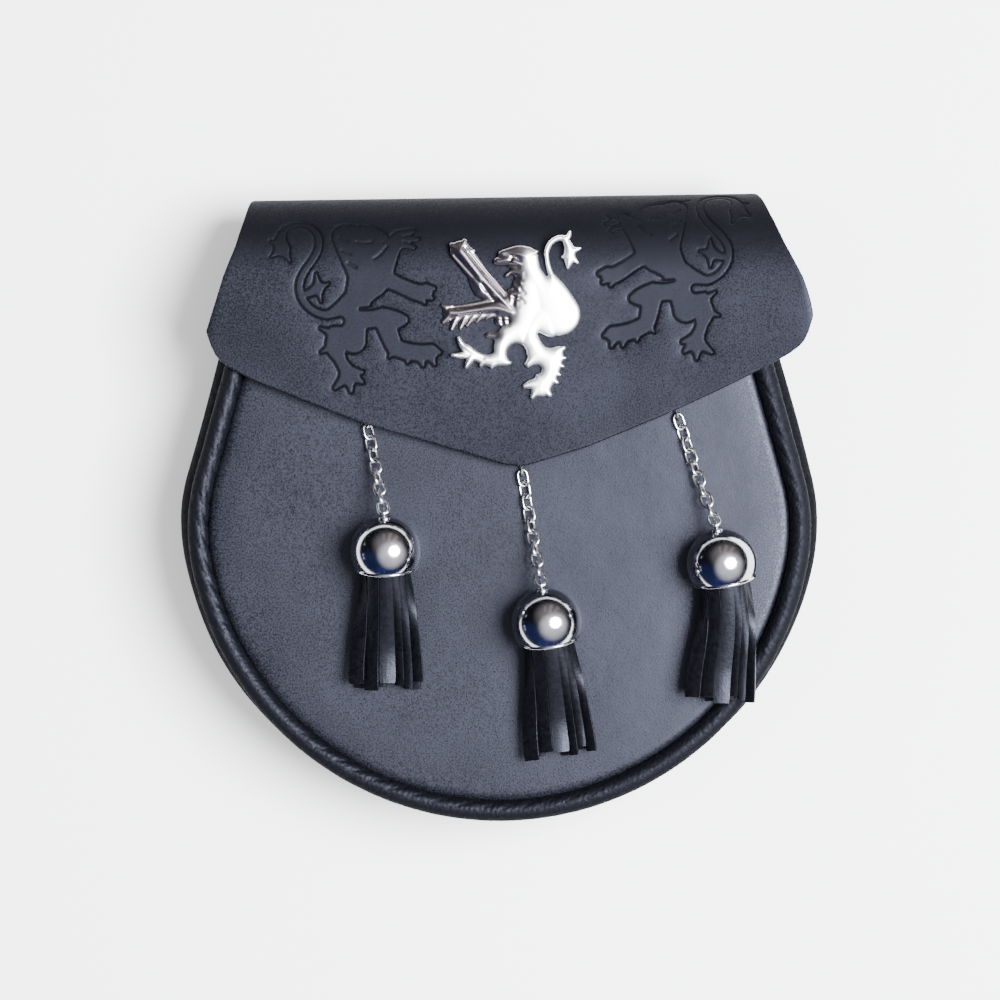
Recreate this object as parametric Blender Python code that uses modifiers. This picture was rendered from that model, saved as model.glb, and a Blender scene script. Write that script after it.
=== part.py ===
"""Leather sporran pouch: D-shaped body, folded flap, cast lion badge and three chain tassels.

Metres, +Z up. The pouch lies on its back. Its front faces +Z and its mouth is towards +Y.
The origin is under the middle of its bounding box, on the surface that it lies on.
"""

import math

import bmesh
import bpy
from mathutils import Matrix, Vector

MM = 0.001
GAP = 0.3 * MM  # clearance between pieces that touch on the real pouch

# Body outline, the same from front and back: a round belly, tighter shoulders, leaning sides.
BELLY_RADIUS = 92.2 * MM
BELLY_CENTRE_Y = -0.5 * MM
BELLY_END = math.radians(-10.0)
SHOULDER_RADIUS = 55.5 * MM
SIDE_LEAN = math.radians(15.3)
MOUTH_Y = 78.0 * MM
BELLY_STEPS, SHOULDER_STEPS, SIDE_STEPS = 13, 4, 5

# The layers, from the surface that the pouch lies on to the front.
PIPING_RADIUS = 3.3 * MM
PIPING_OFFSET = 3.5 * MM
BACK_THICKNESS = 2.2 * MM
BACK_OFFSET = 5.0 * MM
BACK_Z = 2.0 * PIPING_RADIUS + GAP + BACK_THICKNESS
FRONT_THICKNESS = 2.5 * MM
FRONT_Z = 37.0 * MM
FRONT_CROWN = 0.9 * MM
FRONT_OFFSET = -0.1 * MM
FRONT_PIPING_Z = FRONT_Z - FRONT_THICKNESS + PIPING_RADIUS
GUSSET_THICKNESS = 1.6 * MM
GUSSET_SEAM = 2.6 * MM
GUSSET_BULGE_SIDE = 7.6 * MM
GUSSET_BULGE_BOTTOM = 4.2 * MM
GUSSET_SECTION = (  # share of the height, share of the bulge
    (0.00, 0.00),
    (0.18, 0.66),
    (0.50, 1.00),
    (0.82, 0.66),
    (1.00, 0.00),
)
CROWN_RINGS = (1.0, 0.72, 0.38)  # sizes of the rings that carry the front panel's crown

# Flap: its sheet runs from a tail on the back, round the fold, to a V-shaped hem in front.
FLAP_THICKNESS = 2.4 * MM
FLAP_FRONT_Z = 42.8 * MM  # middle of the sheet
FLAP_BACK_Z = 2.0 * PIPING_RADIUS - FLAP_THICKNESS / 2
FOLD_RADIUS = (FLAP_FRONT_Z - FLAP_BACK_Z) / 2
FOLD_Y = 79.65 * MM
FOLD_STEPS = 8
TAIL_END_Y = 52.0 * MM
FLAP_ROWS = 4
HEM = (  # x, y of the front edge in mm, from the left corner to the right one
    (-92.3, 54.9),
    (-90.9, 49.2),
    (-86.8, 44.6),
    (-78.1, 39.8),
    (-60.0, 32.6),
    (-42.8, 25.9),
    (-21.3, 19.9),
    (2.0, 12.9),
    (7.6, 12.5),
    (27.6, 18.6),
    (53.5, 29.3),
    (67.5, 35.8),
    (80.9, 42.3),
    (91.0, 47.8),
    (96.1, 52.7),
    (98.6, 59.6),
)
FLAP_SIDES = (  # turn round the fold in degrees, left x and right x in mm
    (0.0, -85.0, 92.7),
    (90.0, -80.0, 85.0),
    (135.0, -75.0, 77.0),
    (180.0, -66.0, 66.0),
)

# Strap loops on the back, for a 25 mm strap that runs along X.
LOOP_X = 30.0 * MM
LOOP_WIDTH = 20.0 * MM
LOOP_THICKNESS = 2.0 * MM
LOOP_SECTION = (  # y in mm, 1 against the back panel and 0 on the surface
    (48.0, 1.0),
    (40.0, 1.0),
    (36.0, 0.0),
    (0.0, 0.0),
    (-4.0, 1.0),
    (-12.0, 1.0),
)

STUD_Y = 42.0 * MM
STUD_RADIUS = 6.0 * MM

# Chain links: a torus pulled apart into an oval.
WIRE = 0.95 * MM
LINK_WIDTH = 4.3 * MM
LINK_LENGTH = 6.1 * MM
LINK_PITCH = 3.88 * MM
LINK_SEGMENTS, WIRE_SIDES = 10, 5
LINK_REACH = (LINK_LENGTH - WIRE) / 2  # from a link's middle to its end wire
CHAIN_CLEARANCE = 1.75 * MM
CHAIN_RISE = 34.0 * MM
CHAIN_RISE_POWER = 2.4
EVEN_ROLL_END = math.radians(-32.0)
ODD_ROLL_START, ODD_ROLL_END = math.radians(90.0), math.radians(28.0)

POST_BASE_LENGTH = 5.8 * MM
POST_BASE_WIDTH = 1.3 * MM
POST_BASE_HEIGHT = 0.4 * MM
POST_ARCH_RADIUS = 2.1 * MM
POST_WIRE_RADIUS = 0.42 * MM
POST_STEPS = 6

# Bells: a ball cut off at its mouth, with a lip, and a small ring fused on top.
BELL_RADIUS = 11.1 * MM  # at the belly
BELL_BELLY = 5.8 * MM  # height of the belly over the mouth
BELL_HEIGHT = 16.4 * MM
BELL_WALL = 0.8 * MM
BELL_LIP = 0.4 * MM
BELL_STEPS_TOP, BELL_STEPS_LOW = 5, 2
BELL_SEGMENTS = 16
EYE_RADIUS = 1.6 * MM
EYE_WIRE_RADIUS = 0.5 * MM
EYE_RISE = 1.5 * MM  # from the dome's top to the middle of the ring

# Tassels: a ring of strips that flattens into two layers.
HEAD_RADII = (7.8 * MM, 6.4 * MM)
HEAD_FROM, HEAD_TO = 0.2 * MM, 10.5 * MM
STRIP_WIDTH = 5.6 * MM
STRIP_GATHER = 0.74  # share of the width inside the bell
STRIP_THICKNESS = 1.2 * MM
STRIP_RING = 7.0 * MM
STRIP_START = 2.0 * MM
STRIPS = 8
STRIP_SECTIONS = 5
LAYER_STEP = 3.2 * MM

DROPS = (  # side, mouth x, y, lean, tilt, hem point x, y, links, end x, y, spread, end height
    ("left", -35.6, -19.5, 1.5, 16.0, -41.8, 25.9, 9, -35.2, -56.6, 18.6, 2.0),
    ("centre", 15.5, -41.9, 8.0, 16.0, 6.8, 12.2, 10, 19.6, -77.6, 18.2, 2.0),
    ("right", 70.6, -23.4, 9.5, 12.0, 55.7, 29.6, 10, 69.6, -60.6, 17.4, 5.6),
)

# Badge: a cast lion rampant, in mm from its middle, as limbs that taper from one end to the other.
BADGE_X, BADGE_Y = 3.3 * MM, 59.9 * MM
BADGE_EDGE = 0.3  # height of the upright edge, in mm
BADGE_LOW, BADGE_SWELL = 0.9, 0.30  # a limb's height is LOW + SWELL x radius, in mm
BADGE_VOXEL = 0.5 * MM
BADGE_KEEP = 0.055  # share of the faces that the finished casting keeps
LION = (  # start x, y, radius, end x, y, radius
    (9.4, 6.9, 5.6, 15.3, 0.6, 6.8),  # back and rump
    (6.0, 4.0, 4.2, 9.4, 6.9, 5.6),  # ribs
    (3.6, 17.4, 3.6, 8.2, 9.0, 5.2),  # neck and mane
    (-1.6, 18.6, 2.0, 3.4, 18.2, 3.5),  # brow and skull
    (-2.9, 15.9, 1.3, 1.0, 17.4, 2.6),  # muzzle
    (-1.2, 12.5, 0.7, 3.0, 14.0, 1.8),  # lower jaw
    (3.0, 7.6, 2.6, 5.0, 1.0, 3.2),  # breast
    (3.4, -0.6, 2.6, -7.4, 9.8, 3.1),  # raised foreleg
    (-7.4, 9.8, 3.1, -15.8, 19.6, 3.3),  # raised forearm
    (-15.8, 19.6, 3.3, -18.3, 21.6, 1.0),
    (-15.8, 19.6, 3.3, -14.6, 23.0, 1.0),
    (-15.8, 19.6, 3.3, -12.2, 20.6, 0.9),
    (3.2, -1.2, 2.6, -9.5, 1.2, 2.5),  # level foreleg
    (-9.5, 1.2, 2.5, -18.4, 1.0, 2.6),
    (-18.4, 1.2, 2.0, -21.2, 2.9, 0.8),
    (-18.0, 0.6, 2.0, -20.9, -1.7, 0.8),
    (-16.6, 0.2, 2.0, -18.0, -4.0, 0.8),
    (-13.0, 0.6, 2.0, -14.0, -3.2, 0.8),
    (7.4, 0.6, 4.4, 0.4, -7.0, 3.6),  # belly
    (0.4, -7.0, 3.6, -2.2, -12.2, 2.4),  # bent thigh
    (-1.0, -13.6, 2.4, -8.2, -14.2, 1.7),  # shin
    (-8.2, -14.2, 1.7, -15.0, -11.6, 1.9),
    (-15.0, -11.6, 1.9, -16.0, -7.6, 0.9),
    (-15.0, -11.6, 1.7, -18.0, -12.4, 0.7),
    (-14.4, -12.4, 1.6, -13.8, -16.0, 0.7),
    (-5.0, -14.4, 1.2, -5.6, -16.1, 0.6),
    (10.2, -2.0, 4.2, 8.0, -8.0, 3.0),  # hip
    (8.0, -8.0, 3.0, 6.0, -15.2, 1.3),  # knee
    (8.6, -8.4, 3.0, 13.8, -13.2, 3.2),  # standing thigh
    (13.8, -13.2, 2.9, 11.6, -19.6, 2.2),  # shank
    (11.6, -20.0, 2.6, 9.0, -22.6, 2.9),  # standing foot
    (9.0, -22.4, 2.2, 5.0, -22.0, 0.9),
    (8.6, -23.0, 2.0, 7.2, -25.3, 0.8),
    (10.6, -22.6, 2.0, 12.4, -24.4, 0.9),
    (14.6, -12.0, 1.8, 16.3, -10.6, 0.7),  # spurs
    (14.2, -15.0, 1.6, 16.0, -15.4, 0.6),
    (12.6, -19.4, 1.4, 14.6, -20.6, 0.6),
    (12.6, 12.4, 1.3, 11.1, 17.6, 1.0),  # tail
    (11.1, 17.6, 1.0, 12.0, 21.6, 0.9),
    (12.0, 21.6, 0.9, 15.0, 23.9, 0.9),
    (15.0, 23.9, 0.9, 18.6, 23.6, 1.0),
    (18.2, 23.6, 0.9, 18.8, 25.7, 0.5),
    (18.4, 23.4, 1.1, 18.9, 17.6, 1.9),  # tuft
    (18.9, 18.4, 1.6, 22.0, 20.6, 0.5),
    (18.9, 17.6, 1.6, 20.6, 16.4, 0.6),
    (18.9, 17.6, 1.5, 18.2, 14.6, 0.5),
)

LEATHER = ((0.030, 0.031, 0.037, 1.0), 0.48, 0.0)  # colour, roughness, metallic
SOFT_LEATHER = ((0.016, 0.016, 0.021, 1.0), 0.52, 0.0)
STRAP_LEATHER = ((0.022, 0.020, 0.022, 1.0), 0.60, 0.0)
CHROME = ((0.86, 0.87, 0.90, 1.0), 0.10, 1.0)
STEEL = ((0.62, 0.63, 0.65, 1.0), 0.25, 1.0)


def clear_scene():
    for obj in list(bpy.data.objects):
        bpy.data.objects.remove(obj, do_unlink=True)


def new_collection(name):
    collection = bpy.data.collections.new(name)
    bpy.context.scene.collection.children.link(collection)
    return collection


clear_scene()
PARTS = new_collection("sporran_pouch")
CUTTERS = new_collection("cutters")


def finish_material(name, finish):
    colour, roughness, metallic = finish
    material = bpy.data.materials.new(name)
    material.use_nodes = True
    shader = material.node_tree.nodes["Principled BSDF"]
    shader.inputs["Base Color"].default_value = colour
    shader.inputs["Roughness"].default_value = roughness
    shader.inputs["Metallic"].default_value = metallic
    material.diffuse_color = colour
    return material


def add_part(name, data, finish):
    """A named sub-part from a mesh or a curve, with a material of its own."""
    obj = bpy.data.objects.new(name, data)
    PARTS.objects.link(obj)
    if not data.materials:
        data.materials.append(finish_material(name, finish))
    return obj


def add_cutter(name, mesh):
    """A helper that a Boolean joins to a part, or cuts from it."""
    obj = bpy.data.objects.new(name, mesh)
    CUTTERS.objects.link(obj)
    obj.hide_render = True
    obj.display_type = "WIRE"
    return obj


def to_mesh(name, bm):
    """A named mesh from a bmesh, with smooth faces and sharp edges past 40 degrees."""
    mesh = bpy.data.meshes.new(name)
    bm.to_mesh(mesh)
    bm.free()
    mesh.shade_smooth()
    mesh.set_sharp_from_angle(angle=math.radians(40.0))
    return mesh


def settled_mesh(obj):
    """The object's mesh as its modifiers or its bevel leave it, welded."""
    graph = bpy.context.evaluated_depsgraph_get()
    mesh = bpy.data.meshes.new_from_object(obj.evaluated_get(graph))
    bm = bmesh.new()
    bm.from_mesh(mesh)
    bmesh.ops.remove_doubles(bm, verts=bm.verts, dist=0.005 * MM)
    bpy.data.meshes.remove(mesh)
    return to_mesh(obj.name, bm)


def sheet(name, rows, close=False):
    """An open surface over rows of points, row after row."""
    bm = bmesh.new()
    grid = [[bm.verts.new(point) for point in row] for row in rows]
    for near, far in zip(grid, grid[1:]):
        count = len(near) if close else len(near) - 1
        for i in range(count):
            j = (i + 1) % len(near)
            bm.faces.new((near[i], near[j], far[j], far[i]))
    bmesh.ops.remove_doubles(bm, verts=bm.verts, dist=0.01 * MM)
    return to_mesh(name, bm)


def thicken(obj, thickness, offset):
    solid = obj.modifiers.new("Solidify", "SOLIDIFY")
    solid.thickness = thickness
    solid.offset = offset
    solid.use_even_offset = True


def fuse(obj, cutter):
    union = obj.modifiers.new("Union", "BOOLEAN")
    union.operation = "UNION"
    union.object = cutter


def tube(name, points, radius, resolution):
    """A round tube with closed ends along straight stretches between points."""
    curve = bpy.data.curves.new(name, "CURVE")
    curve.dimensions = "3D"
    curve.bevel_depth = radius
    curve.bevel_resolution = resolution
    curve.use_fill_caps = True
    spline = curve.splines.new("POLY")
    spline.points.add(len(points) - 1)
    for spot, point in zip(spline.points, points):
        spot.co = (*point, 1.0)
    return curve


def body_outline(offset):
    """The body's edge, from the mouth's left end round the belly to its right end."""
    belly = BELLY_RADIUS + offset
    shoulder = SHOULDER_RADIUS + offset
    step_in = BELLY_RADIUS - SHOULDER_RADIUS
    shoulder_x = step_in * math.cos(BELLY_END)
    shoulder_y = BELLY_CENTRE_Y + step_in * math.sin(BELLY_END)
    half = []
    for step in range(BELLY_STEPS + 1):
        turn = -math.pi / 2 + (BELLY_END + math.pi / 2) * step / BELLY_STEPS
        half.append((belly * math.cos(turn), BELLY_CENTRE_Y + belly * math.sin(turn)))
    for step in range(1, SHOULDER_STEPS + 1):
        turn = BELLY_END + (SIDE_LEAN - BELLY_END) * step / SHOULDER_STEPS
        half.append((shoulder_x + shoulder * math.cos(turn), shoulder_y + shoulder * math.sin(turn)))
    foot_x, foot_y = half[-1]
    rise = MOUTH_Y - foot_y
    for step in range(1, SIDE_STEPS + 1):
        share = step / SIDE_STEPS
        half.append((foot_x - rise * share * math.tan(SIDE_LEAN), foot_y + rise * share))
    left = [(-x, y) for x, y in reversed(half[1:])]
    return left + half


def front_z(x, y):
    """Height of the front panel's crowned face at a place, outside the rim its flat height."""
    reach = math.hypot(x, y) / BELLY_RADIUS
    return FRONT_Z + FRONT_CROWN * max(0.0, 1.0 - reach * reach)


def build_panel(name, offset, top_z, thickness, crown, rings):
    """A panel's outer face, crowned over rings that shrink towards its middle."""
    outline = body_outline(offset)
    rows = []
    for size in rings:
        height = top_z + crown * (1.0 - size * size)
        rows.append([(x * size, y * size, height) for x, y in outline])
    rows.append([(0.0, 0.0, top_z + crown)] * len(outline))
    panel = add_part(name, sheet(name, rows, close=True), LEATHER)
    thicken(panel, thickness, -1.0)


def build_gusset():
    """The wall between the panels, which bulges most at the sides."""
    inner, outer = body_outline(0.0), body_outline(MM)
    low = BACK_Z + GAP
    height = FRONT_Z - FRONT_THICKNESS - GAP - low
    rows = []
    for rise, swell in GUSSET_SECTION:
        row = []
        for (x, y), (out_x, out_y) in zip(inner, outer):
            side = min(1.0, max(0.0, 1.0 + y / BELLY_RADIUS))
            bulge = GUSSET_BULGE_BOTTOM + (GUSSET_BULGE_SIDE - GUSSET_BULGE_BOTTOM) * side
            reach = (GUSSET_SEAM + bulge * swell) / MM
            row.append((x + (out_x - x) * reach, y + (out_y - y) * reach, low + rise * height))
        rows.append(row)
    gusset = add_part("gusset", sheet("gusset", rows), SOFT_LEATHER)
    thicken(gusset, GUSSET_THICKNESS, -1.0)


def build_piping(name, z):
    points = [(x, y, z) for x, y in body_outline(PIPING_OFFSET)]
    add_part(name, tube(name, points, PIPING_RADIUS, 2), SOFT_LEATHER)


def flap_sides(turn):
    """Left and right x of the flap at a turn round its fold, in metres."""
    for (low, left_a, right_a), (high, left_b, right_b) in zip(FLAP_SIDES, FLAP_SIDES[1:]):
        if turn <= high:
            share = (turn - low) / (high - low)
            return (left_a + (left_b - left_a) * share) * MM, (right_a + (right_b - right_a) * share) * MM
    return FLAP_SIDES[-1][1] * MM, FLAP_SIDES[-1][2] * MM


def build_flap():
    hem = [Vector((x * MM, y * MM)) for x, y in HEM]
    span = hem[-1].x - hem[0].x
    shares = [(point.x - hem[0].x) / span for point in hem]

    def across(turn):
        left, right = flap_sides(turn)
        return [left + (right - left) * share for share in shares]

    rows = []
    for step in range(FLAP_ROWS):
        share = step / FLAP_ROWS
        ends = [Vector((x, FOLD_Y)) for x in across(0.0)]
        spots = [point.lerp(end, share) for point, end in zip(hem, ends)]
        rows.append([(spot.x, spot.y, FLAP_FRONT_Z) for spot in spots])
    fold_z = FLAP_BACK_Z + FOLD_RADIUS
    for step in range(FOLD_STEPS + 1):
        turn = 180.0 * step / FOLD_STEPS
        y = FOLD_Y + FOLD_RADIUS * math.sin(math.radians(turn))
        z = fold_z + FOLD_RADIUS * math.cos(math.radians(turn))
        rows.append([(x, y, z) for x in across(turn)])
    rows.append([(x, TAIL_END_Y, FLAP_BACK_Z) for x in across(180.0)])
    flap = add_part("flap", sheet("flap", rows), LEATHER)
    thicken(flap, FLAP_THICKNESS, 0.0)


def build_strap_loop(name, x):
    low = LOOP_THICKNESS / 2
    high = 2.0 * PIPING_RADIUS - LOOP_THICKNESS / 2
    rows = []
    for y, lift in LOOP_SECTION:
        z = low + (high - low) * lift
        rows.append([(x - LOOP_WIDTH / 2, y * MM, z), (x + LOOP_WIDTH / 2, y * MM, z)])
    loop = add_part(name, sheet(name, rows), LEATHER)
    thicken(loop, LOOP_THICKNESS, 0.0)


def build_snap_stud():
    low = front_z(0.0, STUD_Y) + GAP
    high = FLAP_FRONT_Z - FLAP_THICKNESS / 2 - GAP
    bm = bmesh.new()
    bmesh.ops.create_cone(
        bm, cap_ends=True, segments=20, radius1=STUD_RADIUS, radius2=STUD_RADIUS, depth=high - low
    )
    stud = add_part("snap_stud", to_mesh("snap_stud", bm), STEEL)
    stud.location = (0.0, STUD_Y, (low + high) / 2)


def link_mesh():
    bm = bmesh.new()
    ring = (LINK_WIDTH - WIRE) / 2
    pull = (LINK_LENGTH - LINK_WIDTH) / 2
    rings = []
    for segment in range(LINK_SEGMENTS):
        turn = 2.0 * math.pi * segment / LINK_SEGMENTS
        aside = math.copysign(pull, math.cos(turn))
        row = []
        for side in range(WIRE_SIDES):
            round_wire = 2.0 * math.pi * side / WIRE_SIDES
            reach = ring + WIRE / 2 * math.cos(round_wire)
            point = (aside + reach * math.cos(turn), reach * math.sin(turn), WIRE / 2 * math.sin(round_wire))
            row.append(bm.verts.new(point))
        rings.append(row)
    for near, far in zip(rings, rings[1:] + rings[:1]):
        for side in range(WIRE_SIDES):
            after = (side + 1) % WIRE_SIDES
            bm.faces.new((near[side], far[side], far[after], near[after]))
    mesh = to_mesh("chain_link", bm)
    mesh.materials.append(finish_material("chain_link", CHROME))
    return mesh


def bell_matrix(mouth, lean, tilt):
    """Bell's place: its +Z points from the mouth to the top, tilted up from the panel."""
    turn = Matrix.Rotation(math.radians(lean), 4, "Z") @ Matrix.Rotation(math.radians(tilt - 90.0), 4, "X")
    return Matrix.Translation(mouth) @ turn


def chain_path(eye, toward, links):
    """Middles of a chain's links, from the bell's ring to the post under the flap, and the post."""
    heading = (Vector((toward.x, toward.y)) - Vector((eye.x, eye.y))).normalized()

    def spot(run):
        x, y = eye.x + heading.x * run, eye.y + heading.y * run
        rest = front_z(x, y) + CHAIN_CLEARANCE
        fall = max(0.0, 1.0 - run / CHAIN_RISE) ** CHAIN_RISE_POWER
        return Vector((x, y, rest + (eye.z - rest) * fall))

    stops = [LINK_REACH + LINK_PITCH * i for i in range(links)]
    stops.append(stops[-1] + LINK_REACH)
    stride = 0.02 * MM
    places, run, length, last = [], 0.0, 0.0, spot(0.0)
    while len(places) < len(stops):
        run += stride
        here = spot(run)
        length += (here - last).length
        if length >= stops[len(places)]:
            places.append((here, (here - last).normalized()))
        last = here
    return places[:-1], places[-1][0], heading


def link_roll(index, links):
    share = index / (links - 1)
    if index % 2:
        return ODD_ROLL_START + (ODD_ROLL_END - ODD_ROLL_START) * share
    return EVEN_ROLL_END * share


def build_chain(side, mesh, eye, toward, links):
    places, post, heading = chain_path(eye, toward, links)
    for index, (spot, along) in enumerate(places):
        upright = Vector((0.0, 0.0, 1.0))
        face = (upright - along * along.dot(upright)).normalized()
        face.rotate(Matrix.Rotation(link_roll(index, links), 3, along))
        across = face.cross(along)
        link = add_part(f"link_{side}_{index:02d}", mesh, CHROME)
        turn = Matrix((along, across, face)).transposed().to_4x4()
        link.matrix_world = Matrix.Translation(spot) @ turn
    build_post(side, post, heading)


def build_post(side, spot, heading):
    """A staple on the front panel: a narrow foot and an arch, both in line with the chain."""
    name = f"chain_post_{side}"
    foot = front_z(spot.x, spot.y) + GAP
    bm = bmesh.new()
    bmesh.ops.create_cube(bm, size=1.0)
    bmesh.ops.scale(bm, verts=bm.verts, vec=(POST_BASE_LENGTH, POST_BASE_WIDTH, POST_BASE_HEIGHT))
    bmesh.ops.translate(bm, verts=bm.verts, vec=(0.0, 0.0, POST_BASE_HEIGHT / 2))
    post = add_part(name, to_mesh(name, bm), STEEL)
    arch = [(POST_ARCH_RADIUS, 0.0, POST_BASE_HEIGHT / 2)]
    for step in range(POST_STEPS + 1):
        turn = math.pi * step / POST_STEPS
        rise = POST_BASE_HEIGHT + POST_ARCH_RADIUS * math.sin(turn)
        arch.append((POST_ARCH_RADIUS * math.cos(turn), 0.0, rise))
    arch.append((-POST_ARCH_RADIUS, 0.0, POST_BASE_HEIGHT / 2))
    wire = bpy.data.objects.new(name + "_arch", tube(name + "_arch", arch, POST_WIRE_RADIUS, 1))
    CUTTERS.objects.link(wire)
    bpy.context.view_layer.update()
    cutter = add_cutter(name + "_cutter", settled_mesh(wire))
    bpy.data.objects.remove(wire, do_unlink=True)
    turn = Matrix.Rotation(math.atan2(heading.y, heading.x), 4, "Z")
    post.matrix_world = Matrix.Translation((spot.x, spot.y, foot)) @ turn
    cutter.matrix_world = post.matrix_world
    fuse(post, cutter)


def bell_mesh():
    """The ball turned from its profile, open at its mouth, with the small ring fused on top."""

    def ball(radius, height, low):
        """Half a profile, from the top over the belly down to a height over the mouth."""
        turns = [math.pi / 2 * step / BELL_STEPS_TOP for step in range(BELL_STEPS_TOP + 1)]
        points = [(radius * math.sin(turn), BELL_BELLY + height * math.cos(turn)) for turn in turns]
        dip = math.asin((BELL_BELLY - low) / radius)
        for step in range(1, BELL_STEPS_LOW + 1):
            turn = dip * step / BELL_STEPS_LOW
            points.append((radius * math.cos(turn), BELL_BELLY - radius * math.sin(turn)))
        return points

    rise = BELL_HEIGHT - BELL_BELLY
    outer = ball(BELL_RADIUS, rise, 0.0)
    inner = ball(BELL_RADIUS - BELL_WALL, rise - BELL_WALL, BELL_LIP)
    lip = inner[-1][0] - BELL_LIP
    profile = outer + [(lip, 0.0), (lip, BELL_LIP)] + inner[::-1]
    bm = bmesh.new()
    spots = [bm.verts.new((x, 0.0, z)) for x, z in profile]
    for near, far in zip(spots, spots[1:]):
        bm.edges.new((near, far))
    bell = add_cutter("bell_dome", to_mesh("bell_dome", bm))
    turned = bell.modifiers.new("Screw", "SCREW")
    turned.steps = turned.render_steps = BELL_SEGMENTS
    turned.use_merge_vertices = True
    turned.merge_threshold = 0.00001
    bpy.ops.mesh.primitive_torus_add(
        major_segments=10,
        minor_segments=6,
        major_radius=EYE_RADIUS,
        minor_radius=EYE_WIRE_RADIUS,
        location=(0.0, 0.0, BELL_HEIGHT + EYE_RISE),
        rotation=(0.0, math.pi / 2, 0.0),
    )
    eye = bpy.context.active_object
    fuse(bell, eye)
    bpy.context.view_layer.update()
    mesh = settled_mesh(bell)
    mesh.materials.append(finish_material("bell", CHROME))
    for helper in (bell, eye):
        bpy.data.objects.remove(helper, do_unlink=True)
    return mesh


def strip_box(bm, sections):
    """One strip, lofted through its four-cornered sections."""
    rings = [[bm.verts.new(corner) for corner in corners] for corners in sections]
    for near, far in zip(rings, rings[1:]):
        for i in range(4):
            j = (i + 1) % 4
            bm.faces.new((near[i], far[i], far[j], near[j]))
    bm.faces.new(rings[0])
    bm.faces.new(rings[-1][::-1])


def bezier(points, share):
    a, b, c, d = points
    left = 1.0 - share
    spot = a * left**3 + b * 3 * left**2 * share + c * 3 * left * share**2 + d * share**3
    along = (b - a) * 3 * left**2 + (c - b) * 6 * left * share + (d - c) * 3 * share**2
    return spot, along.normalized()


def build_tassel(side, place, end, spread, surface):
    name = f"tassel_{side}"
    axis = place.to_3x3() @ Vector((0.0, 0.0, 1.0))
    mouth = place.translation
    run = (end - mouth).to_2d()
    away = Vector((run.x, run.y, 0.0)).normalized()
    aside = Vector((-away.y, away.x, 0.0))
    strips = bmesh.new()
    per_layer = STRIPS // 2
    for index in range(STRIPS):
        turn = 2.0 * math.pi * (index + 0.5) / STRIPS
        upper = index < per_layer
        ring = Vector((math.cos(turn), -math.sin(turn), 0.0))
        start = place @ (ring * STRIP_RING + Vector((0.0, 0.0, STRIP_START)))
        tangent = place.to_3x3() @ Vector((-math.sin(turn), -math.cos(turn), 0.0))
        column = index % per_layer / (per_layer - 1) - 0.5
        shift = column * spread * MM * (-1.0 if upper else 1.0)
        if (place.to_3x3() @ Vector((1.0, 0.0, 0.0))).dot(aside) < 0:
            shift = -shift
        uneven = 0.9 * MM * math.sin(2.3 * index + 0.7)
        height = surface + (LAYER_STEP if upper else 0.0)
        finish = Vector((end.x, end.y, height)) + aside * shift + away * uneven
        flat = aside if aside.dot(tangent) > 0 else -aside
        length = (finish - start).length
        route = (start, start - axis * length * 0.42, finish - away * length * 0.36, finish)
        sections = []
        for step in range(STRIP_SECTIONS):
            share = step / (STRIP_SECTIONS - 1)
            spot, along = bezier(route, share)
            wide = tangent.lerp(flat, share)
            width = STRIP_WIDTH * (STRIP_GATHER + (1.0 - STRIP_GATHER) * share)
            wide = (wide - along * along.dot(wide)).normalized() * width / 2
            thick = wide.cross(along).normalized() * STRIP_THICKNESS / 2
            sections.append((spot - wide - thick, spot + wide - thick, spot + wide + thick, spot - wide + thick))
        strip_box(strips, sections)
    bmesh.ops.recalc_face_normals(strips, faces=strips.faces)
    cutter = add_cutter(name + "_strips", to_mesh(name + "_strips", strips))
    bm = bmesh.new()
    bmesh.ops.create_cone(
        bm,
        cap_ends=True,
        segments=20,
        radius1=HEAD_RADII[0],
        radius2=HEAD_RADII[1],
        depth=HEAD_TO - HEAD_FROM,
    )
    bmesh.ops.translate(bm, verts=bm.verts, vec=(0.0, 0.0, (HEAD_TO + HEAD_FROM) / 2))
    tassel = add_part(name, to_mesh(name, bm), STRAP_LEATHER)
    tassel.matrix_world = place
    fuse(tassel, cutter)
    tassel.modifiers["Union"].use_self = True


def build_drops():
    """Three drops, each a post, a chain, a bell and a tassel."""
    links_mesh, bells_mesh = link_mesh(), bell_mesh()
    for side, x, y, lean, tilt, hem_x, hem_y, links, end_x, end_y, spread, rest in DROPS:
        rise = BELL_RADIUS - BELL_BELLY * math.sin(math.radians(tilt))
        mouth = Vector((x * MM, y * MM, front_z(x * MM, y * MM) + GAP + rise))
        place = bell_matrix(mouth, lean, tilt)
        bell = add_part(f"bell_{side}", bells_mesh, CHROME)
        bell.matrix_world = place
        eye = place @ Vector((0.0, 0.0, BELL_HEIGHT + EYE_RISE))
        build_chain(side, links_mesh, eye, Vector((hem_x * MM, hem_y * MM, 0.0)), links)
        surface = front_z(end_x * MM, end_y * MM) + rest * MM
        build_tassel(side, place, Vector((end_x * MM, end_y * MM, surface)), spread, surface)


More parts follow.
